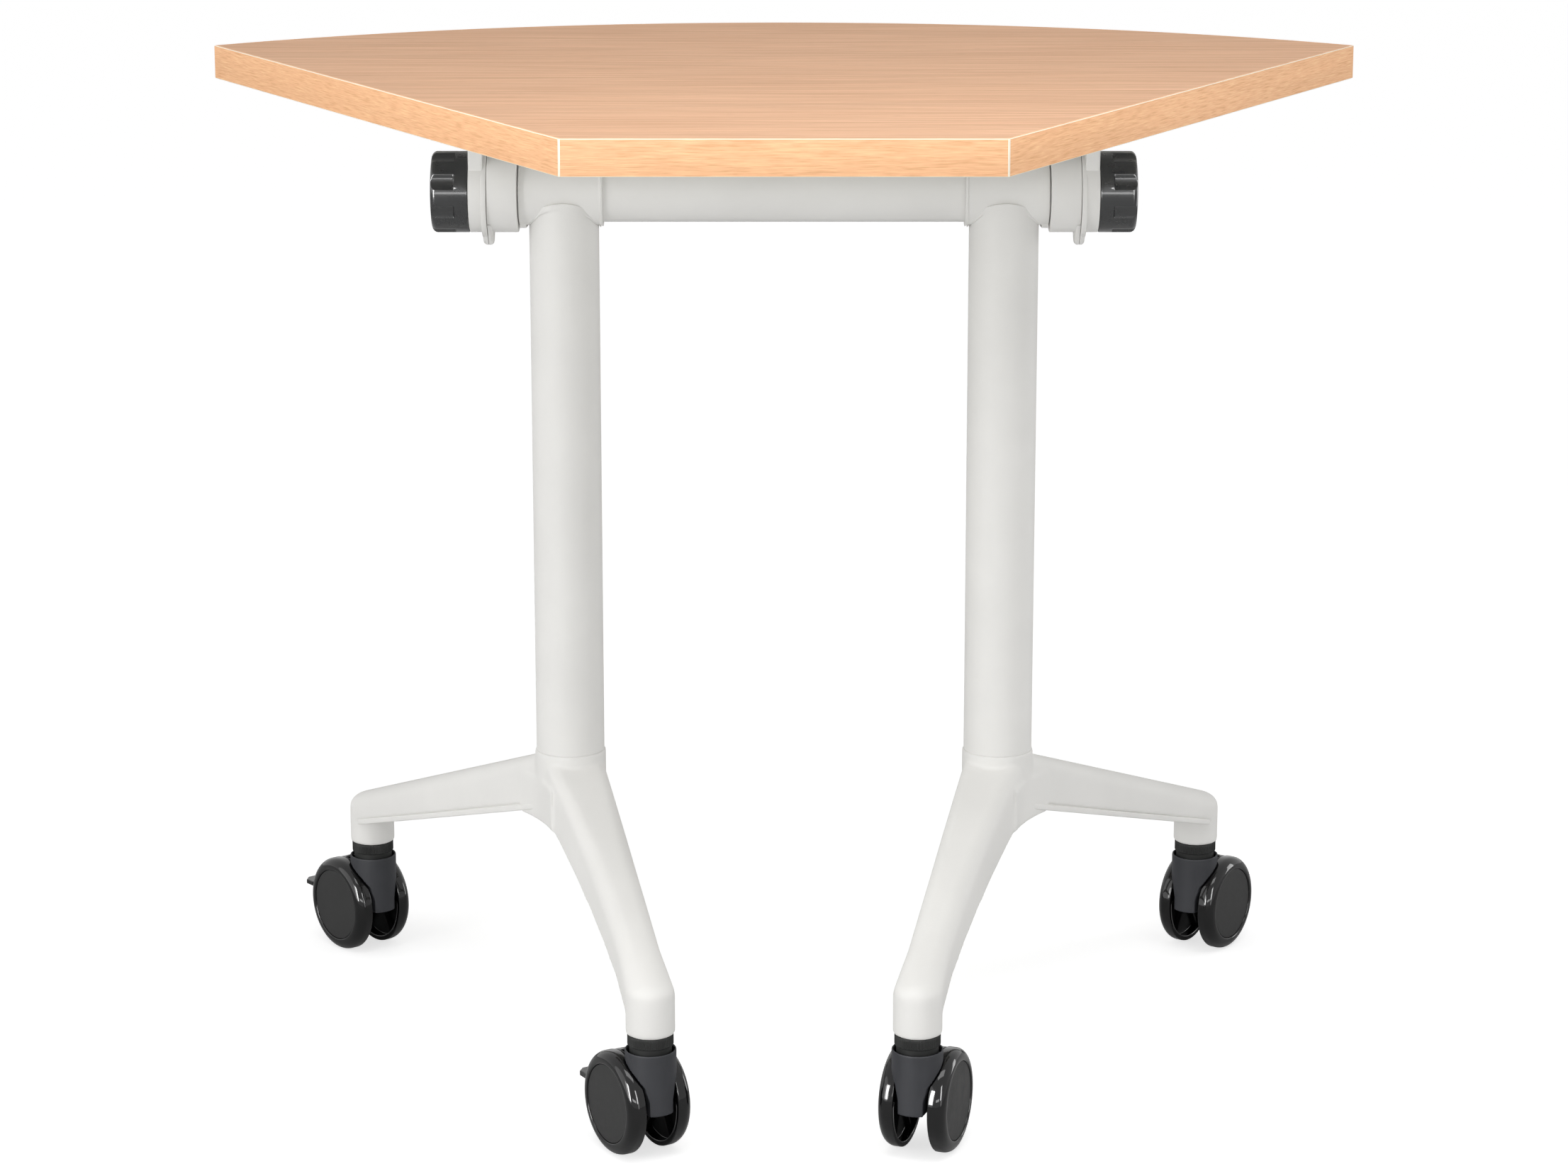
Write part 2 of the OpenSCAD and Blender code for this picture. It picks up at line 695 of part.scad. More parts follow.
module foot(side) {
    lens = [front_arm_len, rear_arm_len];
    hollow_ws = [arm_waist_w, arm_root_w - 4];
    chamfer = 1.6;
    taper_top = hub_bottom + hub_taper_h;
    color(WHITE) on_side(side) difference() {
        union() {
            at_arm(0) front_arm_body();
            at_arm(1) rear_arm_body();
            for (i = [0, 1]) at_arm(i) translate([lens[i], 0, caster_height])
                cylinder(d = boss_d, h = arm_under_end - caster_height + bead_h);
            crotch();
            translate([post_x, post_y, hub_bottom])
                cylinder(d1 = hub_d - 2 * hub_taper_r, d2 = hub_d, h = hub_taper_h);
            post_bar(hub_d, taper_top, hub_top - chamfer);
            translate([post_x, post_y, hub_top - chamfer]) cylinder(d1 = hub_d, d2 = hub_d - 2 * chamfer, h = chamfer);
            post_bar(post_bore_d - 2 * fit, taper_top, hub_top + foot_spigot_len);
        }
        for (i = [0, 1]) at_arm(i) {
            arm_hollow(lens[i], hollow_ws[i]);
            translate([lens[i], 0, caster_height - cut]) cylinder(d = stem_d, h = stem_grip + cut);
        }
        post_bar(tie_rod_d, hub_bottom - cut, hub_top + foot_spigot_len + cut);
        post_bar(nut_d + 2 * nut_room, hub_bottom - cut, nut_z + nut_h);
    }
}

// Places its children in the frame of one caster: swivel axis at the origin, wheels trailing along +X
module at_caster(c) {
    p = caster_xy(c);
    translate([p.x, p.y, 0]) rotate(heading(c)) children();
}

module caster_stems() {
    color(STEEL) for (c = [0:3]) at_caster(c)
        translate([0, 0, socket_bottom + slip]) cylinder(d = stem_d, h = caster_height + stem_grip - socket_bottom - slip);
}

// Ribbed outline of the collar
module ribbed_disc(d, ribs, depth) {
    polygon([for (i = [0:2 * ribs - 1]) let (r = d / 2 - (i % 2) * depth, a = i * 180 / ribs) [r * cos(a), r * sin(a)]]);
}

module caster_collars() {
    rib_depth = 0.35;
    color(BLACK) for (c = [0:3]) at_caster(c) difference() {
        union() {
            translate([0, 0, caster_height - collar_h]) linear_extrude(collar_h) ribbed_disc(collar_d, collar_ribs, rib_depth);
            translate([0, 0, recess_floor + slip]) cylinder(d = neck_d, h = caster_height - collar_h - recess_floor);
        }
        translate([0, 0, recess_floor]) cylinder(d = stem_d, h = caster_height);
    }
}

// Round bar along the wheel axis of a caster between two distances from its middle plane
module wheel_bar(r, y0, y1) {
    translate([caster_offset, y1, wheel_r]) rotate([90, 0, 0]) cylinder(r = r, h = y1 - y0);
}

// Side outline of the housing slab between the wheels, in the plane of the wheels
module slab_outline() {
    front = -housing_d / 2;
    eye_r = 5.5;
    neck_z = wheel_r - 8.5;
    neck_half = 6;
    neck_slope = 6;
    eye_drop = 4;
    back = [20, 26];
    hood_x = 8;
    shoulder_z = cup_top - 3;
    polygon([[front, tongue_bottom], [caster_offset - neck_half - neck_slope, tongue_bottom],
        [caster_offset - neck_half, neck_z], [caster_offset + neck_half, neck_z],
        [lever_x + eye_drop, lever_z - eye_drop], [lever_x + eye_r, lever_z + 2],
        [caster_offset + back.x, wheel_r + back.y], [caster_offset + hood_x, hood_r + wheel_r - hood_t / 2],
        [0, shoulder_z], [front, shoulder_z]]);
    translate([lever_x, lever_z]) circle(r = eye_r);
}

module caster_housing(c) {
    r = housing_d / 2;
    hood_start = 5;
    color(GREY) at_caster(c) difference() {
        union() {
            // Cup round the swivel axis, cut away for the wheels
            difference() {
                translate([0, 0, cup_bottom]) cylinder(r = r, h = cup_top - cup_bottom);
                for (y = [cup_half, -cup_half - wheel_out]) wheel_bar(wheel_r + wheel_clear, y, y + wheel_out);
            }
            // Slab between the wheels, rounded like the cup at its front
            intersection() {
                translate([0, slab_half, 0]) rotate([90, 0, 0]) linear_extrude(tongue_w) slab_outline();
                union() {
                    cylinder(r = r, h = cup_top);
                    translate([0, -r, 0]) cube([3 * r, 2 * r, cup_top]);
                }
            }
            // Hood over the gap between the wheels
            intersection() {
                difference() {
                    wheel_bar(hood_r, -cup_half, cup_half);
                    wheel_bar(hood_r - hood_t, -cup_half - cut, cup_half + cut);
                }
                translate([0, wheel_out, 0]) rotate([90, 0, 0]) linear_extrude(2 * wheel_out)
                    polygon([[caster_offset, wheel_r], [caster_offset + wheel_d, wheel_r + wheel_d * tan(hood_end)],
                        [caster_offset + wheel_d, 3 * wheel_r], [hood_start, 3 * wheel_r]]);
            }
            wheel_bar(axle_boss_r, -wheel_in + slip, wheel_in - slip);
        }
        // Recess for the neck of the collar
        translate([0, 0, recess_floor]) cylinder(r = recess_r, h = cup_top);
        translate([0, 0, socket_bottom]) cylinder(d = stem_d + 2 * fit, h = cup_top);
        wheel_bar(axle_d / 2, -wheel_out, wheel_out);
        // Slot and pivot hole of the brake lever
        translate([caster_offset + 8, -slot_half, 0]) cube([2 * wheel_r, 2 * slot_half, lever_z + 16]);
        translate([lever_x, slab_half + cut, lever_z]) rotate([90, 0, 0])
            cylinder(d = pivot_d + 2 * fit, h = tongue_w + 2 * cut);
    }
}

module caster_axle(c) {
    axle_inset = cap_t + 2.2;
    color(STEEL) at_caster(c) wheel_bar(axle_d / 2, axle_inset - wheel_out, wheel_out - axle_inset);
}

// Half section of a wheel: radius along X, distance from the middle plane along Y
module wheel_section() {
    web_y = wheel_out - cap_recess - cap_t - web_t;
    rim_in = wheel_r - rim_wall;
    cap_r = cap_d / 2 + 0.2;
    difference() {
        union() {
            translate([rim_in, wheel_in + 1]) square([rim_wall, wheel_w - rim_round - 1]);
            translate([rim_in, wheel_in]) square([rim_wall - 1, 1]);
            translate([wheel_r - rim_round, wheel_out - rim_round]) circle(r = rim_round);
            translate([cap_r, web_y]) square([wheel_r - rim_round - cap_r + 0.01, wheel_out - web_y]);
            translate([0, web_y]) square([rim_in, web_t]);
            translate([0, wheel_in + 0.2]) square([hub_r, web_y - wheel_in]);
            translate([tooth_r + 0.8, wheel_in + 1.5]) square([tooth_ring_t, web_y - wheel_in]);
        }
        translate([0, web_y + web_t]) square([cap_r, 20]);
    }
}

module wheel_solid() {
    web_y = wheel_out - cap_recess - cap_t - web_t;
    difference() {
        union() {
            rotate_extrude($fn = 96) wheel_section();
            for (i = [0:wheel_ribs - 1]) rotate(i * 360 / wheel_ribs)
                translate([hub_r - 1, -wheel_rib_t / 2, wheel_in + 4]) cube([wheel_r - rim_wall - hub_r + 2, wheel_rib_t, web_y - wheel_in - 3]);
            for (i = [0:ring_teeth - 1]) rotate(i * 360 / ring_teeth)
                translate([tooth_r - 0.4, -tooth_w / 2, wheel_in + 1.5]) cube([tooth_h, tooth_w, tooth_len]);
        }
        cylinder(r = axle_d / 2 + fit, h = wheel_out - cap_recess - cap_t + cut);
    }
}

// Turns the wheel frame so that its axis lies along the caster's Y axis, on the side asked for
module at_wheel(c, out) {
    y_side = -CASTER_SIDE[c] * out;
    at_caster(c) translate([caster_offset, 0, wheel_r]) rotate([y_side < 0 ? 90 : -90, 0, 0]) children();
}

module caster_wheel(c, out) {
    color(BLACK) at_wheel(c, out) wheel_solid();
}

module wheel_cap(c, out) {
    bevel = 0.6;
    z0 = wheel_out - cap_recess - cap_t;
    color(GREY) at_wheel(c, out) {
        translate([0, 0, z0]) cylinder(d = cap_d, h = cap_t - bevel);
        translate([0, 0, z0 + cap_t - bevel]) cylinder(d1 = cap_d, d2 = cap_d - 2 * bevel, h = bevel);
    }
}

// Brake lever on its cross pin, with the pedal behind the wheels
module brake_lever(c) {
    root_x = pedal_x0 + 3;
    eye_low = lever_eye_r - 0.1;
    color(BLACK) at_caster(c) {
        translate([0, lever_half, 0]) rotate([90, 0, 0]) linear_extrude(2 * lever_half) {
            translate([lever_x, lever_z]) circle(r = lever_eye_r);
            polygon([[lever_x - 1, lever_z - eye_low], [root_x, pedal_z - pedal_t / 2],
                [root_x, pedal_z + pedal_t / 2], [lever_x + 2, lever_z + eye_low - 0.4]]);
        }
        translate([0, 0, pedal_z - pedal_t / 2]) linear_extrude(pedal_t) polygon([
            [pedal_x0, -pedal_w / 2], [pedal_x1 - pedal_corner, -pedal_w / 2], [pedal_x1, pedal_corner - pedal_w / 2],
            [pedal_x1, pedal_w / 2 - pedal_corner], [pedal_x1 - pedal_corner, pedal_w / 2], [pedal_x0, pedal_w / 2]]);
        translate([lever_x, slab_half, lever_z]) rotate([90, 0, 0]) cylinder(d = pivot_d, h = tongue_w);
    }
}

board_core();
top_laminate();
underside_laminate();
near_edge_band();
side_edge_band(-1);  // left_edge_band
side_edge_band(1);  // right_edge_band
back_edge_band();
tilt_bracket(-1);  // tilt_bracket_left
tilt_bracket(1);  // tilt_bracket_right
bracket_screws();
pivot_bushes();
cross_beam();
tee_casting(-1);  // tee_casting_left
tee_casting(1);  // tee_casting_right
tee_screws();
clamp_ring(-1);  // clamp_ring_left
clamp_ring(1);  // clamp_ring_right
clamp_studs();
thrust_washers();
knob(-1);  // knob_left
knob(1);  // knob_right
knob_insert(-1);  // knob_insert_left
knob_insert(1);  // knob_insert_right
post(-1);  // post_left
post(1);  // post_right
tie_rods();
tie_rod_nuts();
foot(-1);  // foot_left
foot(1);  // foot_right
caster_stems();
caster_collars();
for (c = [0:3]) {
    caster_housing(c);
    caster_axle(c);
    caster_wheel(c, 1);
    caster_wheel(c, -1);
    wheel_cap(c, 1);
    wheel_cap(c, -1);
}
for (c = BRAKED) {
    brake_lever(c);
}
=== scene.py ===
"""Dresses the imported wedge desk: visible pieces, materials, floor, lights and camera."""
from math import acos, asin, atan2, cos, degrees, pi, radians, sin, sqrt, tan

import bmesh
import bpy
from bpy.props import FloatProperty, FloatVectorProperty, IntProperty, PointerProperty
from mathutils import Matrix, Vector


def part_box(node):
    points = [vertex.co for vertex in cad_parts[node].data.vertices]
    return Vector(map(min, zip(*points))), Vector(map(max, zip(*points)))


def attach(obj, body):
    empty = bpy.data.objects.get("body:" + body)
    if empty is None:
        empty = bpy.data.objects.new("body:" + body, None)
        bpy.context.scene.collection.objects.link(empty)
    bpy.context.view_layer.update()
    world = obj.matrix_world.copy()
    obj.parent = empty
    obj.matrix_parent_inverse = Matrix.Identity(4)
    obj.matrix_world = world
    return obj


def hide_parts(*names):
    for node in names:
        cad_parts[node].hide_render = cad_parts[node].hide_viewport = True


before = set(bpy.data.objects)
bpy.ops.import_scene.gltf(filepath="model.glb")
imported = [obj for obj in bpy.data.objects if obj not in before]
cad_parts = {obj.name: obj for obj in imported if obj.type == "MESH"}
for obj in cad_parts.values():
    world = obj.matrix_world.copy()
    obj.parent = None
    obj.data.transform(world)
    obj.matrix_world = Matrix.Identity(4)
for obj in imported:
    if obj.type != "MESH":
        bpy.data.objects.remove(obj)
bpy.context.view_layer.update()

bl_info = {
    "name": "Tilting Wedge Desk",
    "version": (1, 0, 0),
    "blender": (4, 5, 0),
    "location": "View3D > Sidebar > Desk",
    "description": "Builds the visible pieces, materials and stage of a wedge-shaped tilting desk",
    "category": "Add Mesh",
}

MM = 0.001
# Edges sharper than this are rounded
SHARP = radians(35)


def box_mm(node):
    """Corners of a node at rest, in millimetres."""
    low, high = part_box(node)
    return low / MM, high / MM


# Sizes and places taken from the frame, in millimetres
near_low, near_high = box_mm("near_edge_band")
TOP_Z = near_high.z
BOARD_T = near_high.z - near_low.z
BAND_T = near_high.y - near_low.y
NEAR_HALF = near_high.x
NEAR_Y = near_low.y
HALF_ANGLE = radians(30)
CHORD_HALF = box_mm("right_edge_band")[1].x
BACK_Y = box_mm("back_edge_band")[1].y
CHORD_Y = NEAR_Y + (CHORD_HALF - NEAR_HALF) / tan(HALF_ANGLE)
ARC_R = (CHORD_HALF**2 + (BACK_Y - CHORD_Y) ** 2) / (2 * (BACK_Y - CHORD_Y))
ARC_Y = BACK_Y - ARC_R

post_low, post_high = box_mm("post_right")
POST_X, POST_Y = (post_low.x + post_high.x) / 2, (post_low.y + post_high.y) / 2
POST_R = (post_high.x - post_low.x) / 2
HUB_TOP = post_low.z
beam_low, beam_high = box_mm("cross_beam")
AXIS_Z = (beam_low.z + beam_high.z) / 2
tee_low, tee_high = box_mm("tee_casting_right")
TEE_X = (tee_low.x, tee_high.x)
TEE_R = 24.2
FIXED_X = (TEE_X[1] + 0.8, box_mm("clamp_ring_right")[1].x)
knob_low, knob_high = box_mm("knob_right")
TILT_X = (FIXED_X[1] + 0.3, knob_low.x - 0.3)
KNOB_X = knob_low.x
KNOB_LEN = knob_high.x - knob_low.x
KNOB_R = (knob_high.z - knob_low.z) / 2
RING_R = 29.4
TAB_T = 3.8
TAB_REACH = 39.0
TAB_R = 6.2
ARCH_R = 30.0
ARCH_Z = AXIS_Z - 39.0
ARCH_BAND = 4.0

# Feet: length and turn of the arms of the right foot
HUB_BOTTOM = HUB_TOP - 56
HUB_TAPER = (9.0, 12.0)
HUB_R = 26.5
FRONT_ARM = (239.0, radians(-90 - 16))
REAR_ARM = (277.0, radians(90 - 38.4))
ARM_ROOT_X = 10.0
ARM_ROOT_HALF = 24.0
ARM_EDGE_R = 9.0
WAIST_HALF = 16.4
WAIST_SINK = 2.6
COLLAR_TOP = box_mm("caster_collars")[1].z
FOOT_RISE = HUB_TOP - COLLAR_TOP
ARM_TOP = (HUB_TOP - 3, COLLAR_TOP + FOOT_RISE * 0.29)
ARM_UNDER = (HUB_TOP - 46, COLLAR_TOP + FOOT_RISE * 0.11)
BOSS_R = 17.5

# Casters: side of the desk, arm that carries it, heading outwards from +Y in degrees
CASTERS = {
    "front_left": (-1, FRONT_ARM, 31),
    "front_right": (1, FRONT_ARM, 20),
    "rear_left": (-1, REAR_ARM, 39),
    "rear_right": (1, REAR_ARM, 34),
}
BRAKED = ("front_left", "rear_left")
wheel_low, wheel_high = box_mm("front_left_outer_wheel")
WHEEL_R = (wheel_high.z - wheel_low.z) / 2
WHEEL_IN = 12.7
WHEEL_OUT = 25.3
CAP_T = 1.5
CAP_SEAT = WHEEL_OUT - 0.8 - CAP_T
BODY_HALF = WHEEL_IN - 1.2
TONGUE_HALF = 9.4
TRAIL = 20.0
COLLAR_LOW = COLLAR_TOP - 8.2
CUP_R = 18.3
CUP_TOP = COLLAR_LOW - 3.3
CUP_FLOOR = CUP_TOP - 6
LEVER_X, LEVER_Z = TRAIL + 16, WHEEL_R + 8.5

# Place of the camera in metres
CAMERA_Y, CAMERA_Z = -3.033, 1.129


def srgb(code):
    """Linear colour from a hex sRGB code."""
    parts = [int(code[i : i + 2], 16) / 255 for i in (1, 3, 5)]
    return [c / 12.92 if c <= 0.04045 else ((c + 0.055) / 1.055) ** 2.4 for c in parts]


def colour_prop(name, code, text):
    return FloatVectorProperty(
        name=name, description=text, default=srgb(code), subtype="COLOR", size=3, min=0, max=1
    )


def length_prop(name, millimetres, text):
    default = millimetres * MM
    return FloatProperty(name=name, description=text, default=default, unit="LENGTH", precision=5)


def count_prop(name, number, text):
    return IntProperty(name=name, description=text, default=number, min=12)


class DeskSizes(bpy.types.PropertyGroup):
    """Sizes of the finish details"""

    edge_round: length_prop("Edge rounding", 0.45, "Rounding of the trimmed edging")
    corner_cut: length_prop("Corner trim", 1.0, "Flat trimmed on the near corners of the edging")
    casting_voxel: length_prop("Casting detail", 1.3, "Smallest detail of the cast feet")
    fine_voxel: length_prop("Bracket detail", 0.8, "Smallest detail of the brackets")
    sleeve_voxel: length_prop("Sleeve detail", 0.5, "Smallest detail of the tees")
    moulded_voxel: length_prop("Moulding detail", 0.5, "Smallest detail of the caster housings")
    rim_gap: length_prop("Rim groove", 1.3, "Groove above the rim of a rear arm")
    recess_depth: length_prop("Finger recess", 2.2, "Depth of the finger recesses in the knobs")
    collar_ribs: count_prop("Collar ribs", 96, "Ribs round a caster collar")
    wheel_teeth: count_prop("Wheel teeth", 36, "Brake teeth inside a wheel")
    camera_lens: FloatProperty(name="Lens", description="Focal length for a 36 mm sensor", default=96.8)
    camera_pitch: FloatProperty(
        name="Camera pitch", description="Tilt below the horizon", default=radians(13.41), subtype="ANGLE"
    )


class DeskColours(bpy.types.PropertyGroup):
    """Colours of the finishes"""

    beech: colour_prop("Beech laminate", "#DCB08E", "Printed beech of the work surface")
    edging: colour_prop("Beech edging", "#F5BF92", "Printed beech of the edge bands")
    # Pale bare plastic of the trimmed edges, partly real and partly a painted highlight along the rounded
    # edges
    trimmed: colour_prop("Trimmed edging", "#FFF1DC", "Unprinted plastic where the edging is trimmed")
    backing: colour_prop("Backing laminate", "#E9E7E0", "Plain laminate under the board")
    chip: colour_prop("Chipboard", "#B58E62", "Chips of the board core")
    coat: colour_prop("Powder coat", "#E6E5E2", "Pale grey powder coat of castings and tubes")
    gloss: colour_prop("Black knob", "#1D1E1F", "Glossy black of the knobs")
    housing: colour_prop("Caster housing", "#303135", "Matt anthracite of the housings")
    wheel: colour_prop("Caster wheel", "#070708", "Glossy black of the wheels")
    cap: colour_prop("Wheel cap", "#2A2A2A", "Matt dark grey of the wheel caps")
    collar: colour_prop("Caster collar", "#222322", "Dark grey of the ribbed collars")
    bush: colour_prop("Acetal", "#191A19", "Black of the bearing bushes")
    steel: colour_prop("Plated steel", "#B9BBBE", "Zinc-plated screws, studs and axles")
    brass: colour_prop("Brass", "#C8A550", "Threaded inserts")
    floor: colour_prop("Floor", "#D6D6D6", "Plain pale floor")


def sizes():
    return bpy.context.scene.desk_sizes


def colours():
    return bpy.context.scene.desk_colours


def mm(key):
    """One of the sizes, in millimetres."""
    return getattr(sizes(), key) / MM


# Mesh building, in millimetres


def rim_points(radius, z, centre=(0, 0), count=48, start=0.0, span=2 * pi):
    """Points round a circle or an arc at one height."""
    steps = count if span >= 2 * pi else count - 1
    turns = [start + span * i / steps for i in range(count)]
    return [(centre[0] + radius * cos(a), centre[1] + radius * sin(a), z) for a in turns]


def prism(bm, outline, low, high, up="Z"):
    """Closed prism on a flat outline, between two levels along an axis."""
    turn = {
        "Z": Matrix(),
        "Y": Matrix.Rotation(radians(90), 4, "X"),
        "X": Matrix(((0, 0, 1, 0), (1, 0, 0, 0), (0, 1, 0, 0), (0, 0, 0, 1))),
    }[up]
    levels = (-low, -high) if up == "Y" else (low, high)
    verts = [bm.verts.new(turn @ Vector((a, b, levels[0]))) for a, b in outline]
    made = bmesh.ops.extrude_face_region(bm, geom=[bm.faces.new(verts)])
    moved = [g for g in made["geom"] if isinstance(g, bmesh.types.BMVert)]
    bmesh.ops.translate(bm, verts=moved, vec=turn @ Vector((0, 0, levels[1] - levels[0])))
    faces = {f for v in verts + moved for f in v.link_faces}
    bmesh.ops.recalc_face_normals(bm, faces=list(faces))
    return bm


def rod(bm, radius, low, high, axis="Z", at=(0, 0), segments=96, radius_end=None):
    """Round bar between two levels along an axis; at gives its place across the axis."""
    middle = (low + high) / 2
    place, turn = {
        "X": ((middle, at[0], at[1]), Matrix.Rotation(radians(90), 4, "Y")),
        "Y": ((at[0], middle, at[1]), Matrix.Rotation(radians(-90), 4, "X")),
        "Z": ((at[0], at[1], middle), Matrix()),
    }[axis]
    bmesh.ops.create_cone(
        bm, cap_ends=True, cap_tris=False, segments=segments, radius1=radius,
        radius2=radius if radius_end is None else radius_end, depth=high - low,
        matrix=Matrix.Translation(place) @ turn,
    )
    return bm


def block(bm, low, high):
    """Rectangular block between two corners; gives its vertices."""
    size = Vector(high) - Vector(low)
    middle = (Vector(high) + Vector(low)) / 2
    matrix = Matrix.Translation(middle) @ Matrix.Diagonal((*size, 1))
    return bmesh.ops.create_cube(bm, size=1, matrix=matrix)["verts"]


def plain_mesh(bm):
    """Mesh of a bmesh, which goes."""
    mesh = bpy.data.meshes.new("plain")
    bm.to_mesh(mesh)
    bm.free()
    return mesh


def reopened(mesh):
    """Bmesh of a mesh, which goes."""
    bm = bmesh.new()
    bm.from_mesh(mesh)
    bpy.data.meshes.remove(mesh)
    return bm


def append(bm, part):
    """Adds one bmesh to another."""
    mesh = plain_mesh(part)
    bm.from_mesh(mesh)
    bpy.data.meshes.remove(mesh)


def face_outwards(bm):
    bmesh.ops.recalc_face_normals(bm, faces=bm.faces[:])


def hull(bm, points):
    """Convex solid round a set of points."""
    part = bmesh.new()
    for point in points:
        part.verts.new(point)
    made = bmesh.ops.convex_hull(part, input=part.verts[:], use_existing_faces=False)
    spare = {g for key in ("geom_interior", "geom_unused") for g in made[key]}
    spare = [g for g in spare if isinstance(g, bmesh.types.BMVert) and g.is_valid]
    bmesh.ops.delete(part, geom=spare, context="VERTS")
    face_outwards(part)
    append(bm, part)


def sweep(bm, points, axis, angle, steps, closed):
    """Sweeps a line of points round an axis through the origin."""
    verts = [bm.verts.new(point) for point in points]
    ends = verts[1:] + verts[:1] if closed else verts[1:]
    edges = [bm.edges.new(pair) for pair in zip(verts, ends)]
    bmesh.ops.spin(
        bm, geom=verts + edges, cent=(0, 0, 0), axis=axis, dvec=(0, 0, 0), angle=angle,
        steps=steps, use_merge=angle == 2 * pi, use_duplicate=False,
    )


def revolve(profile, steps, closed):
    """Solid of revolution about Z of a profile of radius and height."""
    bm = bmesh.new()
    sweep(bm, [(r, 0, z) for r, z in profile], (0, 0, 1), 2 * pi, steps, closed)
    bmesh.ops.remove_doubles(bm, verts=bm.verts[:], dist=1e-4)
    face_outwards(bm)
    return bm


def corner_arc(centre, radius, start, end, count=6):
    """Profile points along an arc, angles in degrees."""
    angles = [radians(start + (end - start) * i / count) for i in range(count + 1)]
    return [(centre[0] + radius * cos(a), centre[1] + radius * sin(a)) for a in angles]


def soften(bm, width, segments, chosen=lambda edge: True):
    """Rounds the sharp edges that are chosen."""
    sharp = [e for e in bm.edges if e.is_manifold and e.calc_face_angle(0) > SHARP]
    edges = [e for e in sharp if chosen(e)]
    bmesh.ops.bevel(
        bm, geom=edges, offset=width, offset_type="OFFSET", segments=segments, profile=0.5,
        affect="EDGES", material=-1, clamp_overlap=True,
    )


def linked(name, data):
    """New object in the scene."""
    made = bpy.data.objects.new(name, data)
    bpy.context.scene.collection.objects.link(made)
    return made


def modifier(obj, kind, **settings):
    made = obj.modifiers.new(kind.lower(), kind)
    for key, value in settings.items():
        setattr(made, key, value)


def settled(obj, *tools):
    """Mesh with the modifiers applied; the object and its tools go."""
    graph = bpy.context.evaluated_depsgraph_get()
    mesh = bpy.data.meshes.new_from_object(obj.evaluated_get(graph), depsgraph=graph)
    for spare in (obj, *tools):
        data = spare.data
        bpy.data.objects.remove(spare)
        bpy.data.meshes.remove(data)
    return mesh


def trimmed(bm, tool, operation="DIFFERENCE"):
    """The bmesh cut by, or kept within, the tool bmesh."""
    body, cutter = linked("body", plain_mesh(bm)), linked("cutter", plain_mesh(tool))
    modifier(body, "BOOLEAN", operation=operation, object=cutter, solver="EXACT", use_self=True)
    return reopened(settled(body, cutter))


def melted(bm, voxel, passes):
    """Runs overlapping solids together as one casting with soft edges and fillets."""
    body = linked("body", plain_mesh(bm))
    modifier(body, "REMESH", mode="VOXEL", voxel_size=voxel)
    modifier(body, "SMOOTH", factor=0.5, iterations=passes)
    return settled(body)


def with_parts(mesh, *parts):
    """The mesh with more closed parts beside it."""
    bm = reopened(mesh)
    for part in parts:
        append(bm, part)
    return plain_mesh(bm)


def finish(mesh, name, body, slot, keys, node, place=Matrix(), crease=40):
    """Puts one piece in the scene instead of a node, with its place in its mesh, in metres."""
    made = mesh.copy()
    made.name = name
    made.transform(Matrix.Scale(MM, 4) @ place)
    if place.determinant() < 0:
        made.flip_normals()
    for key in keys:
        made.materials.append(material(key))
    made.polygons.foreach_set("use_smooth", [True] * len(made.polygons))
    made.set_sharp_from_angle(angle=radians(crease))
    piece = linked(name, made)
    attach(piece, body)
    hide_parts(node)


def finish_pairs(*pieces):
    """Puts pieces of the right side in the scene, and their mirror images on the left."""
    for side, word in ((1, "right"), (-1, "left")):
        mirror = Matrix.Diagonal((side, 1, 1, 1))
        for mesh, name, body, slot, keys, node, place, crease in pieces:
            finish(
                mesh, name.format(word), body.format(word), slot, keys, node.format(word),
                mirror @ place, crease,
            )


def caster_place(name):
    """Frame of a caster: swivel axis at the origin, wheels trailing along +X."""
    side, (length, turn), heading = CASTERS[name]
    x = side * (POST_X + length * cos(turn))
    y = POST_Y + length * sin(turn)
    turn = Matrix.Rotation(radians(90 - side * heading), 4, "Z")
    return Matrix.Translation((x, y, 0)) @ turn


def wheel_place(name, out):
    """Frame of a wheel: its axis along +Z, away from the middle of the caster."""
    turn = Matrix.Rotation(radians(90 * CASTERS[name][0] * out), 4, "X")
    return caster_place(name) @ Matrix.Translation((TRAIL, 0, WHEEL_R)) @ turn


# Materials


def add(tree, kind, settings=None, links=None):
    """Adds one node, with its settings and what goes into its sockets."""
    made = tree.nodes.new(kind)
    for key, value in (settings or {}).items():
        setattr(made, key, value)
    for key, value in (links or {}).items():
        if isinstance(value, bpy.types.NodeSocket):
            tree.links.new(value, made.inputs[key])
        else:
            made.inputs[key].default_value = value
    return made


def surface(name, colour, roughness, constants):
    """New material with its constants on the shader's own sockets."""
    material = bpy.data.materials.new(name)
    material.use_nodes = True
    tree = material.node_tree
    shader = tree.nodes["Principled BSDF"]
    shader.inputs["Base Color"].default_value = (*colour, 1)
    shader.inputs["Roughness"].default_value = roughness
    for key, value in constants.items():
        shader.inputs[key].default_value = value
    coords = add(tree, "ShaderNodeTexCoord").outputs["Object"]
    return material, tree, shader, coords


def pattern(tree, coords, size, detail=2.0, rough=0.5):
    """Noise with features of a size in millimetres, or of one size along each axis."""
    spans = size if isinstance(size, (list, tuple)) else (size, size, size)
    scale = [1 / (MM * span) for span in spans]
    mapped = add(tree, "ShaderNodeMapping", None, {"Vector": coords, "Scale": scale}).outputs[0]
    settings = {"Vector": mapped, "Scale": 1.0, "Detail": detail, "Roughness": rough}
    return add(tree, "ShaderNodeTexNoise", None, settings).outputs["Fac"]


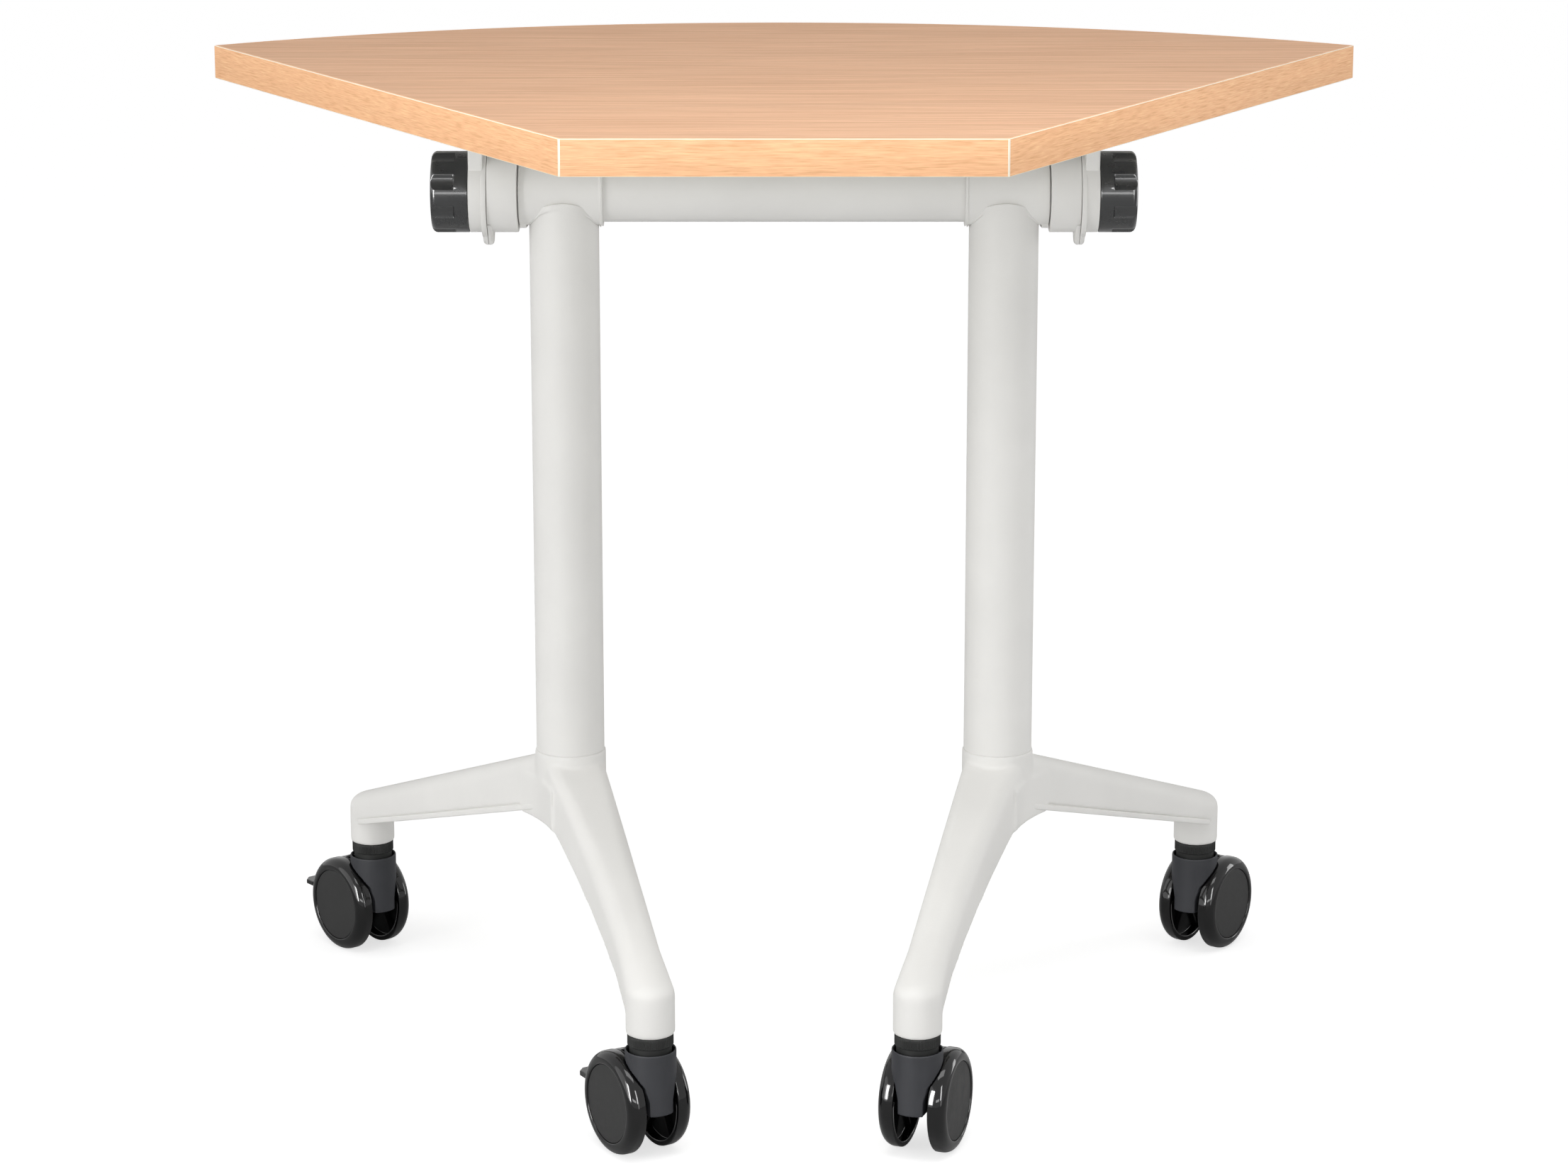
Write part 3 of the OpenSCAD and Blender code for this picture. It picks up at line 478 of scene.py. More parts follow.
def tint(tree, value, low, high, first, second, most=1.0):
    """Colour that goes from the first towards the second as a pattern goes from low to high."""
    levels = {"Value": value, "From Min": low, "From Max": high, "To Min": 0.0, "To Max": most}
    factor = add(tree, "ShaderNodeMapRange", None, levels).outputs["Result"]
    ends = [c if isinstance(c, bpy.types.NodeSocket) else (*c, 1) for c in (first, second)]
    mixer = add(tree, "ShaderNodeMix", {"data_type": "RGBA"}, {0: factor, 6: ends[0], 7: ends[1]})
    return mixer.outputs[2]


def shade(colour, amount):
    return [max(0.0, min(1.0, c * amount)) for c in colour]


def join_up(tree, shader, tone, relief, depth, wear=None, less=0.0, more=0.0, high=0.7):
    """Gives a shader its colour, its relief in millimetres and its change of roughness."""
    made = {"Strength": 1.0, "Distance": depth * MM, "Height": relief}
    joins = {"Base Color": tone, "Normal": add(tree, "ShaderNodeBump", None, made).outputs["Normal"]}
    if wear:
        level = shader.inputs["Roughness"].default_value
        levels = {"Value": wear, "From Min": 0.3, "From Max": high}
        levels.update({"To Min": level - less, "To Max": level + more})
        joins["Roughness"] = add(tree, "ShaderNodeMapRange", None, levels).outputs["Result"]
    for socket, value in joins.items():
        tree.links.new(value, shader.inputs[socket])


def beech_print(tree, coords, base, run, size, reach, streaks, fibres):
    """Printed beech under melamine: fibres of that reach run along the axes marked 1 in run."""

    def print_layer(width, length, detail):
        return pattern(tree, coords, [(length if axis else width) * size for axis in run], detail)

    cloud = print_layer(26, 260, 2.0)
    streak = print_layer(2.6, 230, 3.0)
    fibre = print_layer(1.2, reach, 2.0)
    fleck = print_layer(0.9, 14, 1.0)
    dark = [base[0] * 0.80, base[1] * 0.72, base[2] * 0.65]
    pale = shade(base, 1.25)
    tone = tint(tree, cloud, 0.35, 0.65, shade(base, 0.97), shade(base, 1.03))
    tone = tint(tree, streak, 0.46, 0.68, tone, dark, streaks)
    tone = tint(tree, fibre, 0.48, 0.28, tone, pale, fibres)
    tone = tint(tree, fibre, 0.52, 0.72, tone, dark, fibres)
    tone = tint(tree, fleck, 0.64, 0.76, tone, shade(dark, 0.8), streaks)
    return tone, fibre, 0.02, fibre, 0.05, 0.07


def trimmed_plastic(tree, coords, base):
    """Plain pale plastic with fine marks of the trimming cutter; its paleness also paints the highlight
    along the rounded edges.
    """
    marks = pattern(tree, coords, 3, 3.0)
    return tint(tree, marks, 0, 1, shade(base, 0.9), shade(base, 1.04)), marks, 0.02


def backing_sheet(tree, coords, base):
    """Plain melamine sheet, dull, with a light pebble."""
    pebble = pattern(tree, coords, 0.8)
    cloud = pattern(tree, coords, 90)
    return tint(tree, cloud, 0.3, 0.7, shade(base, 0.95), base), pebble, 0.03


def pressed_chips(tree, coords, base):
    """Wood chips of 3.5 mm in mixed browns."""
    chips = add(tree, "ShaderNodeTexVoronoi", None, {"Vector": coords, "Scale": 1 / (MM * 3.5)})
    mix = add(tree, "ShaderNodeSeparateColor", None, {"Color": chips.outputs["Color"]}).outputs[0]
    tone = tint(tree, mix, 0, 1, shade(base, 0.55), shade(base, 1.3))
    return tone, chips.outputs["Distance"], 0.3


def powder_coat(tree, coords, base, peel_size, peel_depth):
    """Baked powder: an even pale grey with orange peel and a soft sheen."""
    peel = pattern(tree, coords, peel_size, 2.0, 0.45)
    cloud = pattern(tree, coords, 70, 3.0)
    dust = pattern(tree, coords, 2.6, 4.0, 0.7)
    tone = tint(tree, cloud, 0.3, 0.7, shade(base, 0.965), shade(base, 1.015))
    tone = tint(tree, dust, 0.66, 0.78, tone, shade(base, 0.8), 0.25)
    return tone, peel, peel_depth, cloud, 0.04, 0.05


def moulded(tree, coords, base, grain, depth, wear):
    """Injection-moulded plastic with an eroded mould texture and a little handling wear."""
    fine = pattern(tree, coords, grain, 3.0, 0.6)
    cloud = pattern(tree, coords, 14, 4.0, 0.6)
    tone = tint(tree, cloud, 0.35, 0.7, shade(base, 1 - wear), shade(base, 1 + wear))
    tone = tint(tree, fine, 0.55, 0.75, tone, shade(base, 1.35), 0.3)
    return tone, fine, depth, cloud, 0.05, 0.08


def polished(tree, coords, base):
    """Polished moulding: deep gloss broken by smears and hairline scratches."""
    smear = pattern(tree, coords, 18, 4.0, 0.65)
    hair = pattern(tree, coords, (30, 0.8, 30))
    tone = tint(tree, smear, 0.35, 0.75, base, shade(base, 1.25))
    return tone, hair, 0.002, smear, 0.0, 0.05, 0.75


def machined(tree, coords, base, lines):
    """Machined metal with fine turning lines."""
    turned = pattern(tree, coords, lines, 3.0, 0.6)
    cloud = pattern(tree, coords, 9, 3.0)
    tone = tint(tree, cloud, 0.3, 0.7, shade(base, 0.85), base)
    return tone, turned, 0.01, turned, 0.07, 0.1


# Sockets of the constants that follow the roughness of a finish, as many of them as it sets
CONSTANTS = ("IOR", "Specular IOR Level", "Metallic", "Coat Weight", "Coat Roughness")

# Each finish: its name, colour property, roughness and constants, then its pattern's maker and settings
FINISHES = {
    # High pressure laminate with a beech print, satin: grain runs along the near edge
    "beech": ("beech_laminate_satin", "beech", 0.58, (1.5, 0.1), beech_print, (1, 0, 0), 1.0, 110, 0.5, 0.9),
    # Printed ABS edging: its grain runs level round every side
    "edging": ("beech_abs_edging", "edging", 0.5, (1.5, 0.1), beech_print, (1, 1, 0), 0.6, 24, 0.1, 0.75),
    # ABS where the cutter took the print off: plain cream plastic, made pale enough to paint the highlight
    # along the rounded edges too
    "trimmed": ("trimmed_abs_edging", "trimmed", 0.4, (1.53, 0.5), trimmed_plastic),
    # Melamine backing sheet: dull off-white
    "backing": ("melamine_backing", "backing", 0.55, (1.5, 0.5), backing_sheet),
    # Chipboard core, seen only where the board is cut
    "chipboard": ("chipboard", "chip", 0.85, (1.5, 0.5), pressed_chips),
    # Powder coat on die-cast aluminium: softer peel over the as-cast skin
    "cast": ("powder_coated_casting", "coat", 0.6, (1.5, 0.2), powder_coat, 1.6, 0.035),
    # Powder coat on drawn steel tube: finer and flatter peel
    "tube": ("powder_coated_tube", "coat", 0.55, (1.5, 0.2), powder_coat, 1.1, 0.015),
    # Glass-filled nylon, matt: the mould's fine erosion is drawn 0.6 mm coarse so that it shows
    "housing": ("glass_filled_nylon", "housing", 0.55, (1.5, 0.3), moulded, 0.6, 0.03, 0.06),
    # Matt moulded cap with a slightly coarser texture that mottles in the light
    "cap": ("textured_nylon_cap", "cap", 0.5, (1.5, 0.25), moulded, 0.9, 0.05, 0.1),
    # Ribbed nylon collar, dull
    "collar": ("ribbed_nylon", "collar", 0.55, (1.5, 0.25), moulded, 0.5, 0.02, 0.12),
    # Acetal bearing plastic, waxy and smooth
    "bush": ("acetal", "bush", 0.35, (1.5, 0.5), moulded, 0.8, 0.005, 0.12),
    # Phenolic clamp knob, polished black
    "knob": ("polished_phenolic", "gloss", 0.26, (1.52, 0.5, 0, 0.6, 0.06), polished),
    # Hard nylon wheel, moulded in a polished tool
    "wheel": ("polished_nylon_wheel", "wheel", 0.05, (1.52, 0.33, 0, 0.15, 0.06), polished),
    # Inside of the wheel, moulded in an unpolished tool: dull black
    "unpolished": ("unpolished_nylon", "wheel", 0.6, (1.5, 0.12), moulded, 0.8, 0.02, 0.12),
    # Zinc-plated steel, lightly clouded
    "steel": ("zinc_plated_steel", "steel", 0.32, (1.5, 0.5, 1), machined, (0.7, 6, 0.7)),
    # Turned brass insert
    "brass": ("turned_brass", "brass", 0.28, (1.5, 0.5, 1), machined, (0.6, 8, 8)),
}
made_materials = {}


def material(key):
    """The material of that finish, made at its first use."""
    if key not in made_materials:
        name, colour, roughness, constants, pattern_of, *settings = FINISHES[key]
        base = getattr(colours(), colour)
        made, tree, shader, coords = surface(name, base, roughness, dict(zip(CONSTANTS, constants)))
        join_up(tree, shader, *pattern_of(tree, coords, base, *settings))
        made_materials[key] = made
    return made_materials[key]


def dress(key, *nodes):
    """Gives the CAD nodes that stay their material."""
    for node in nodes:
        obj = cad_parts[node]
        if not obj.material_slots:
            obj.data.materials.append(material(key))
        for holder in obj.material_slots:
            holder.material = material(key)


# Pieces, with the slot and the finishes of the commonest ones

EDGING = ("beech_edging", ["edging", "trimmed"])
CASTING = ("painted_casting", ["cast"])


def side_line_hit(inset, radius):
    """Where the side edge, drawn in by a distance, meets a circle about the arc's centre."""
    x = NEAR_HALF - inset * (1 - sin(HALF_ANGLE)) / cos(HALF_ANGLE)
    start = Vector((x, NEAR_Y + inset - ARC_Y))
    along = Vector((sin(HALF_ANGLE), cos(HALF_ANGLE)))
    half = start.dot(along)
    reach = -half + sqrt(half * half - start.length_squared + radius * radius)
    hit = start + along * reach
    return hit.x, hit.y + ARC_Y


def arc_points(inset, radius, count=96):
    """Points of a back arc from its right end to its left end."""
    x, y = side_line_hit(inset, radius)
    limit = atan2(x, y - ARC_Y)
    turns = [limit - 2 * limit * i / count for i in range(count + 1)]
    return [(radius * sin(a), ARC_Y + radius * cos(a)) for a in turns]


def band_mesh(outline, outer, normal_at):
    """Edge band from its outline: outer edges rounded, and pale bare plastic where it was trimmed, which
    also paints the highlight along those rounded edges.
    """
    bm = bmesh.new()
    low = TOP_Z - BOARD_T
    prism(bm, outline, low, TOP_Z)
    flat = [Vector(p) for p in outer]

    def on_outside(edge):
        if abs(edge.verts[0].co.z - edge.verts[1].co.z) > 1:
            return False
        return all(any((v.co.xy - p).length < 0.01 for p in flat) for v in edge.verts)

    soften(bm, mm("edge_round"), 3, on_outside)
    # Faces not square to the band take the pale trimmed finish: bare plastic, and a painted highlight along
    # the rounded edges
    square = 0.985
    for face in bm.faces:
        facing = face.normal.dot(normal_at(face.calc_center_median()))
        face.material_index = int(facing < square and abs(face.normal.z) < square)
    return plain_mesh(bm)


class DESK_OT_board(bpy.types.Operator):
    """Laminated board with its four edge bands"""

    bl_idname = "desk.board"
    bl_label = "Board"

    def execute(self, context):
        cut, bend = mm("corner_cut"), 1.2
        half_width = NEAR_HALF - BAND_T * (1 - sin(HALF_ANGLE)) / cos(HALF_ANGLE)
        # Where the trimmed corner meets the mitre
        inward = Vector((-cos(HALF_ANGLE), sin(HALF_ANGLE))) * cut / 2
        mitre = (NEAR_HALF + inward.x, NEAR_Y + inward.y)
        near_right = [(NEAR_HALF - cut, NEAR_Y), mitre, (half_width, NEAR_Y + BAND_T)]
        near = near_right + [(-x, y) for x, y in reversed(near_right)]
        mesh = band_mesh(near, near[:2] + near[-2:], lambda p: Vector((0, -1, 0)))
        finish(mesh, "near_edging", "top", *EDGING, "near_edge_band")

        out, back = (Vector(side_line_hit(inset, ARC_R)) for inset in (0, BAND_T))
        along = Vector((sin(HALF_ANGLE), cos(HALF_ANGLE)))
        start = (NEAR_HALF + cut * along.x, NEAR_Y + cut * along.y)
        # Rounded back corner of the side band
        turn = (back - out).normalized()
        corner = [out - along * bend, out + (turn * 0.3 - along) * bend * 0.35, out + turn * bend * 0.6]
        outline = [mitre, start, *corner, back, (half_width, NEAR_Y + BAND_T)]
        mesh = band_mesh(outline, outline[:6], lambda p: Vector((along.y, -along.x, 0)))
        finish_pairs((mesh, "{}_edging", "top", *EDGING, "{}_edge_band", Matrix(), 40))

        outer, inner = arc_points(BAND_T, ARC_R), arc_points(BAND_T, ARC_R - BAND_T)
        centre = Vector((0, ARC_Y))
        mesh = band_mesh(outer + inner[::-1], outer, lambda p: (p.xy - centre).normalized().to_3d())
        finish(mesh, "back_edging", "top", *EDGING, "back_edge_band")
        dress("beech", "top_laminate")
        dress("backing", "underside_laminate")
        dress("chipboard", "board_core")
        return {"FINISHED"}


def index_tab(low, high, mating):
    """Index tab under a clamp ring, rounded but for the face where the two tabs meet."""
    root, rounding = RING_R - 8, 2.8
    tip = TAB_REACH - TAB_R
    points = []
    for x in (low, high):
        points += [(x, POST_Y + y, AXIS_Z - root) for y in (root, -root)]
        for turn in range(32):
            a = turn * pi / 16
            points.append((x, POST_Y + TAB_R * cos(a), AXIS_Z - tip + TAB_R * sin(a)))
    bm = bmesh.new()
    hull(bm, points)
    bmesh.ops.dissolve_limit(bm, angle_limit=radians(1), verts=bm.verts[:], edges=bm.edges[:])
    soften(bm, rounding, 6, lambda e: all(abs(v.co.x - mating) > 0.1 for v in e.verts))
    return bm


def ring_part(radius, bore, low, high, drop=0.0):
    """Ring on the tilt axis with rounded outer edges."""
    bm = rod(bmesh.new(), radius, low, high, "X", (POST_Y, AXIS_Z - drop), 144)
    soften(bm, 0.45, 3)
    if bore:
        tool = rod(bmesh.new(), bore, low - 1, high + 1, "X", (POST_Y, AXIS_Z), 64)
        bm = trimmed(bm, tool)
    return bm


def bracket_solid():
    """Web, gussets and screw plate over a tilting ring."""
    web_t, web_half, rib_t = 10.6, 22.8, 6
    plate_t, plate_x, plate_y = 5, 33, 55
    screw_x, screw_y, screw_r = 24, 43, 2.8
    under = TOP_Z - BOARD_T
    joint = under - plate_t + 1
    web_x = TILT_X[1] - web_t
    middle = (TILT_X[0] + TILT_X[1]) / 2
    bm = bmesh.new()
    block(bm, (web_x, POST_Y - web_half, AXIS_Z + 14), (TILT_X[1], POST_Y + web_half, joint))
    corner = (middle + plate_x, POST_Y + plate_y, under)
    block(bm, (middle - plate_x, POST_Y - plate_y, under - plate_t), corner)
    rib_end = middle - plate_x + 6
    outline = [(web_x + 1, AXIS_Z + RING_R + 3), (web_x + 1, joint)]
    outline += [(rib_end, joint), (rib_end, under - 8)]
    for y in (POST_Y - web_half, POST_Y + web_half - rib_t):
        prism(bm, outline, y, y + rib_t, "Y")
    tool = bmesh.new()
    for x in (middle - screw_x, middle + screw_x):
        for y in (POST_Y - screw_y, POST_Y + screw_y):
            rod(tool, screw_r, under - plate_t - 1, under + 1, "Z", (x, y), 32)
    return trimmed(bm, tool)


class DESK_OT_clamp_rings(bpy.types.Operator):
    """Fixed clamp rings, and tilting rings with their brackets"""

    bl_idname = "desk.clamp_rings"
    bl_label = "Clamp rings"

    def execute(self, context):
        bore, spigot, oval = 8.0, 19.4, 1.4
        fixed = with_parts(
            plain_mesh(ring_part(RING_R, 0, *FIXED_X)),
            ring_part(spigot, 0, FIXED_X[0] - 20, FIXED_X[0] + 1),
            index_tab(FIXED_X[1] - TAB_T, FIXED_X[1], FIXED_X[1]),
        )
        flange = (TILT_X[0], TILT_X[0] + TAB_T)
        tilting = with_parts(
            melted(bracket_solid(), mm("fine_voxel"), 3),
            ring_part(RING_R, bore, *TILT_X),
            ring_part(RING_R + oval, bore, *flange, drop=oval + 1),
            index_tab(*flange, flange[0]),
        )
        finish_pairs(
            (fixed, "fixed_ring_{}", "frame", *CASTING, "clamp_ring_{}", Matrix(), 60),
            (tilting, "tilting_ring_{}", "top", *CASTING, "tilt_bracket_{}", Matrix(), 60),
        )
        dress("steel", "bracket_screws", "clamp_studs", "thrust_washers")
        dress("bush", "pivot_bushes")
        return {"FINISHED"}


def arch_wall(radius):
    """Solid below an arch in the plane of the beam."""
    depth, drop = 40, 60
    outline = [p[:2] for p in rim_points(radius, 0, (POST_X, ARCH_Z), 49, 0, pi)]
    outline += [(POST_X - radius, ARCH_Z - drop), (POST_X + radius, ARCH_Z - drop)]
    return prism(bmesh.new(), outline, POST_Y - depth, POST_Y + depth, "Y")


class DESK_OT_beam(bpy.types.Operator):
    """Cross beam with a tee casting on each post"""

    bl_idname = "desk.beam"
    bl_label = "Beam and tees"

    def execute(self, context):
        axis = (POST_Y, AXIS_Z)
        band = bmesh.new()
        proud, crest = 1.6, ARCH_R + ARCH_BAND
        rod(band, POST_R + proud, ARCH_Z + 4, ARCH_Z + crest, "Z", (POST_X, POST_Y), 192)
        band = trimmed(trimmed(band, arch_wall(crest), "INTERSECT"), arch_wall(ARCH_R))
        bm = rod(bmesh.new(), TEE_R, *TEE_X, "X", axis)
        rod(bm, TEE_R + 1.1, TEE_X[0], TEE_X[0] + 2, "X", axis)
        # Slots under the sleeve, on both sides of the post
        slots = bmesh.new()
        low, high, half = AXIS_Z - TEE_R - 1.2, AXIS_Z - TEE_R + 0.5, 14
        for x in ((-POST_R - 3, 5 - POST_R), (POST_R - 5, POST_R + 3)):
            block(slots, (POST_X + x[0], POST_Y - half, low), (POST_X + x[1], POST_Y + half, high))
        bm = trimmed(bm, slots)
        # Lip under the end of the sleeve
        lip, wedge, half = bmesh.new(), bmesh.new(), 9
        rod(lip, TEE_R + 2.2, TEE_X[1] - 5, TEE_X[1], "X", axis)
        block(wedge, (TEE_X[1] - 6, POST_Y - half, AXIS_Z - 48), (TEE_X[1] + 1, POST_Y + half, AXIS_Z))
        append(bm, trimmed(lip, wedge, "INTERSECT"))
        mesh = with_parts(melted(bm, mm("sleeve_voxel"), 3), band)
        finish_pairs((mesh, "tee_{}", "frame", *CASTING, "tee_casting_{}", Matrix(), 60))
        dress("tube", "cross_beam")
        dress("steel", "tee_screws")
        return {"FINISHED"}


def press_recesses(bm, start):
    """Draws the wall in to eight round finger recesses above a height."""
    reach, fillet, ramp = 10.0, 0.4, 0.8
    floor = KNOB_R - mm("recess_depth")
    centre = floor + reach
    for vert in bm.verts:
        radius = vert.co.xy.length
        if radius < floor - 0.5 or vert.co.z < start - 0.05:
            continue
        turn = radians(degrees(atan2(vert.co.y, vert.co.x)) % 45 - 22.5)
        across = centre * sin(turn)
        if abs(across) >= reach:
            continue
        wall = centre * cos(turn) - sqrt(reach * reach - across * across)
        gap = max(fillet - abs(radius - wall), 0)
        pulled = min(radius, wall) - gap * gap / (4 * fillet)
        level = min(1.0, max(0.0, (vert.co.z - start) / ramp))
        vert.co.xy *= 1 + (pulled / radius - 1) * level


class DESK_OT_knobs(bpy.types.Operator):
    """Clamp knobs with finger recesses"""

    bl_idname = "desk.knobs"
    bl_label = "Knobs"

    def execute(self, context):
        dome, rim, foot = 260.0, 4.0, 0.8
        insert_r, insert_end, stud_r, stud_end = 10.05, 15, 6.5, 17.3
        rim_z = KNOB_LEN - (KNOB_R - rim) ** 2 / (2 * dome) - rim
        start = KNOB_LEN * 0.34
        levels = [19, 16, 13, 11, start + 0.9, start + 0.55, start + 0.2, start - 0.1, 6, 3]
        profile = [(r, KNOB_LEN - r * r / (2 * dome)) for r in (0, 4, 8, 12, 16, 20, 23, 24.6)]
        profile += corner_arc((KNOB_R - rim, rim_z), rim, 86, 0, 10)
        profile += [(KNOB_R, z) for z in levels]
        profile += corner_arc((KNOB_R - foot, foot), foot, 0, -90, 3)
        profile += [(20, 0), (insert_r, 0), (insert_r, insert_end)]
        profile += [(stud_r, insert_end), (stud_r, stud_end), (0, stud_end)]
        bm = revolve(profile, 288, False)
        press_recesses(bm, start)
        mesh = plain_mesh(bm)
        place = Matrix.Translation((KNOB_X, POST_Y, AXIS_Z)) @ Matrix.Rotation(radians(90), 4, "Y")
        gloss = ("black_gloss_knob", ["knob"])
        finish_pairs((mesh, "clamp_knob_{}", "knob_{}_body", *gloss, "knob_{}", place, 35))
        dress("brass", "knob_insert_right", "knob_insert_left")
        return {"FINISHED"}


class DESK_OT_posts(bpy.types.Operator):
    """Posts with the tie rods inside them"""

    bl_idname = "desk.posts"
    bl_label = "Posts"

    def execute(self, context):
        dress("tube", "post_right", "post_left")
        dress("steel", "tie_rods", "tie_rod_nuts")
        return {"FINISHED"}


def arm_level(ends, x, length):
    """Height of the top or the underside of an arm at a distance from its hub."""
    return ends[0] + (ends[1] - ends[0]) * (x - ARM_ROOT_X) / (length - ARM_ROOT_X)


def arm_section(x, length, half, middle, lift, edge_r=ARM_EDGE_R):
    """Points of an arm's section: two rounded upper edges and two lower ones."""
    points = []
    top, under = arm_level(ARM_TOP, x, length), arm_level(ARM_UNDER, x, length) + lift
    for side in (-1, 1):
        edge = (x, middle + side * (half - edge_r - 1))
        for tilt in range(7):
            a = radians(tilt * 15)
            points += rim_points(edge_r * cos(a), top - edge_r * (1 - sin(a)), edge, 20)
        points += rim_points(3, under, (x, middle + side * (half - 3)), 12)
    return points


def shoulder_points(length, lift):
    """Points of the domed shoulder over the caster boss."""
    rise = 12.0
    points = rim_points(BOSS_R, ARM_UNDER[1] + lift, (length, 0), 40)
    for tilt in range(9):
        a = radians(tilt * 10)
        points += rim_points(BOSS_R * cos(a), ARM_TOP[1] - rise * (1 - sin(a)), (length, 0), 40)
    return points + [(length, 0, ARM_TOP[1])]


def arm_turn(arm):
    return Matrix.Translation((POST_X, POST_Y, 0)) @ Matrix.Rotation(arm[1], 4, "Z")


def pill(x0, r0, x1, r1, count=16):
    """Outline round two circles on the X axis."""
    swing = acos((r0 - r1) / (x1 - x0))
    tip = rim_points(r1, 0, (x1, 0), count, -swing, 2 * swing)
    root = rim_points(r0, 0, (x0, 0), count, swing, 2 * (pi - swing))
    return [p[:2] for p in tip + root]


def rim_wall(bm, length, inset, low, high, wall):
    """Closed wall that follows the lower rim of an arm."""
    rows, end = [], length - 12.4
    for step in (inset - 0.9, inset - 0.9 + wall):
        line = pill(ARM_ROOT_X, ARM_ROOT_HALF - step, end, BOSS_R - step)
        rows.append([bm.verts.new((x, y, low)) for x, y in line])
    outer, inner = rows
    faces = [
        bm.faces.new((outer[i - 1], outer[i], inner[i], inner[i - 1])) for i in range(len(outer))
    ]
    made = bmesh.ops.extrude_face_region(bm, geom=faces)
    moved = [g for g in made["geom"] if isinstance(g, bmesh.types.BMVert)]
    bmesh.ops.translate(bm, verts=moved, vec=(0, 0, high - low))
    for vert in outer + inner + moved:
        vert.co.z += arm_level(ARM_UNDER, vert.co.x, length)
    face_outwards(bm)


def front_slice(length, t):
    """Section of the front arm, which is drawn in to a waist and bows inwards."""
    half = WAIST_HALF + (ARM_ROOT_HALF - WAIST_HALF) * (1 - t) ** 2
    x = ARM_ROOT_X + (length - ARM_ROOT_X) * t
    edge_r = ARM_EDGE_R + 4 * min(1, 2 * t)
    return arm_section(x, length, half, -4 * WAIST_SINK * t * (1 - t), 0, edge_r)


def fill_crotch(bm):
    """Fillet between the flanks of the arms on the outer side."""
    radius = 150.0
    width = ARM_ROOT_HALF - 0.6
    opening = (REAR_ARM[1] - FRONT_ARM[1]) / 2
    corner = width / sin(opening)
    run = radius / tan(opening)
    middle = corner + radius / sin(opening)
    limit = atan2(run * sin(opening), middle - corner - run * cos(opening))
    turns = [limit - 2 * limit * i / 16 for i in range(17)]
    points = [(0, 0)] + [(middle - radius * cos(a), -radius * sin(a)) for a in turns]
    turn = Matrix.Rotation((REAR_ARM[1] + FRONT_ARM[1]) / 2, 4, "Z")
    placed = [turn @ Vector((x, y, 0)) for x, y in points]
    prism(bm, [(POST_X + p.x, POST_Y + p.y) for p in placed], ARM_UNDER[0] - 8, HUB_TOP - 22)


def hollow(tool, arm, half):
    """Hollow under an arm, open below."""
    length = arm[0]
    turn = arm_turn(arm)
    root, tip = half - 5, BOSS_R - 6.2
    points = []
    for x, radius, drop in ((HUB_R + root + 4, root, 16), (length - BOSS_R - tip - 2, tip, 10)):
        points += rim_points(radius, arm_level(ARM_UNDER, x, length) - 12, (x, 0), 24)
        points += rim_points(radius * 0.7, arm_level(ARM_TOP, x, length) - drop + 1, (x, 0), 24)
    hull(tool, [turn @ Vector(p) for p in points])


class DESK_OT_feet(bpy.types.Operator):
    """Cast feet with a front and a rear arm, and the rims of the rear arms"""

    bl_idname = "desk.feet"
    bl_label = "Feet"

    def execute(self, context):
        lip, steps = 4.5, 6
        lift = lip + mm("rim_gap")
        front, rear = FRONT_ARM[0], REAR_ARM[0]
        slices = [front_slice(front, i / steps) for i in range(steps)]
        slices.append(shoulder_points(front, 0))
        pieces = [(FRONT_ARM, first + second) for first, second in zip(slices, slices[1:])]
        root = arm_section(ARM_ROOT_X, rear, ARM_ROOT_HALF, 0, lift)
        pieces.append((REAR_ARM, root + shoulder_points(rear, lift)))
        bm = bmesh.new()
        for arm, points in pieces:
            turn = arm_turn(arm)
            hull(bm, [turn @ Vector(p) for p in points])
            end = turn @ Vector((arm[0], 0, 0))
            rod(bm, BOSS_R, COLLAR_TOP, ARM_UNDER[1] + 12, "Z", end.xy)
        middle = (POST_X, POST_Y)
        taper_top = HUB_BOTTOM + HUB_TAPER[1]
        rod(bm, HUB_R - HUB_TAPER[0], HUB_BOTTOM, taper_top + 0.01, "Z", middle, 96, HUB_R)
        rod(bm, HUB_R, taper_top, HUB_TOP, "Z", middle)
        fill_crotch(bm)
        tool = bmesh.new()
        hollow(tool, FRONT_ARM, WAIST_HALF)
        hollow(tool, REAR_ARM, ARM_ROOT_HALF - 2)
        bore_r, bore_end = 11.5, 186
        rod(tool, bore_r, HUB_BOTTOM - 1, bore_end, "Z", middle, 48)
        foot = melted(trimmed(bm, tool), mm("casting_voxel"), 9)
        bm = bmesh.new()
        rim_wall(bm, rear, 0, 0, lip, 6)
        soften(bm, 0.8, 3)
        # The groove's floor, set back from the rim
        rim_wall(bm, rear, 2.2, lip - 1, lift + 3, 3.6)
        rim = plain_mesh(bm)
        finish_pairs(
            (foot, "cast_foot_{}", "frame", *CASTING, "foot_{}", Matrix(), 60),
            (rim, "rear_arm_rim_{}", "frame", *CASTING, "foot_{}", arm_turn(REAR_ARM), 40),
        )
        dress("steel", "caster_stems")
        return {"FINISHED"}


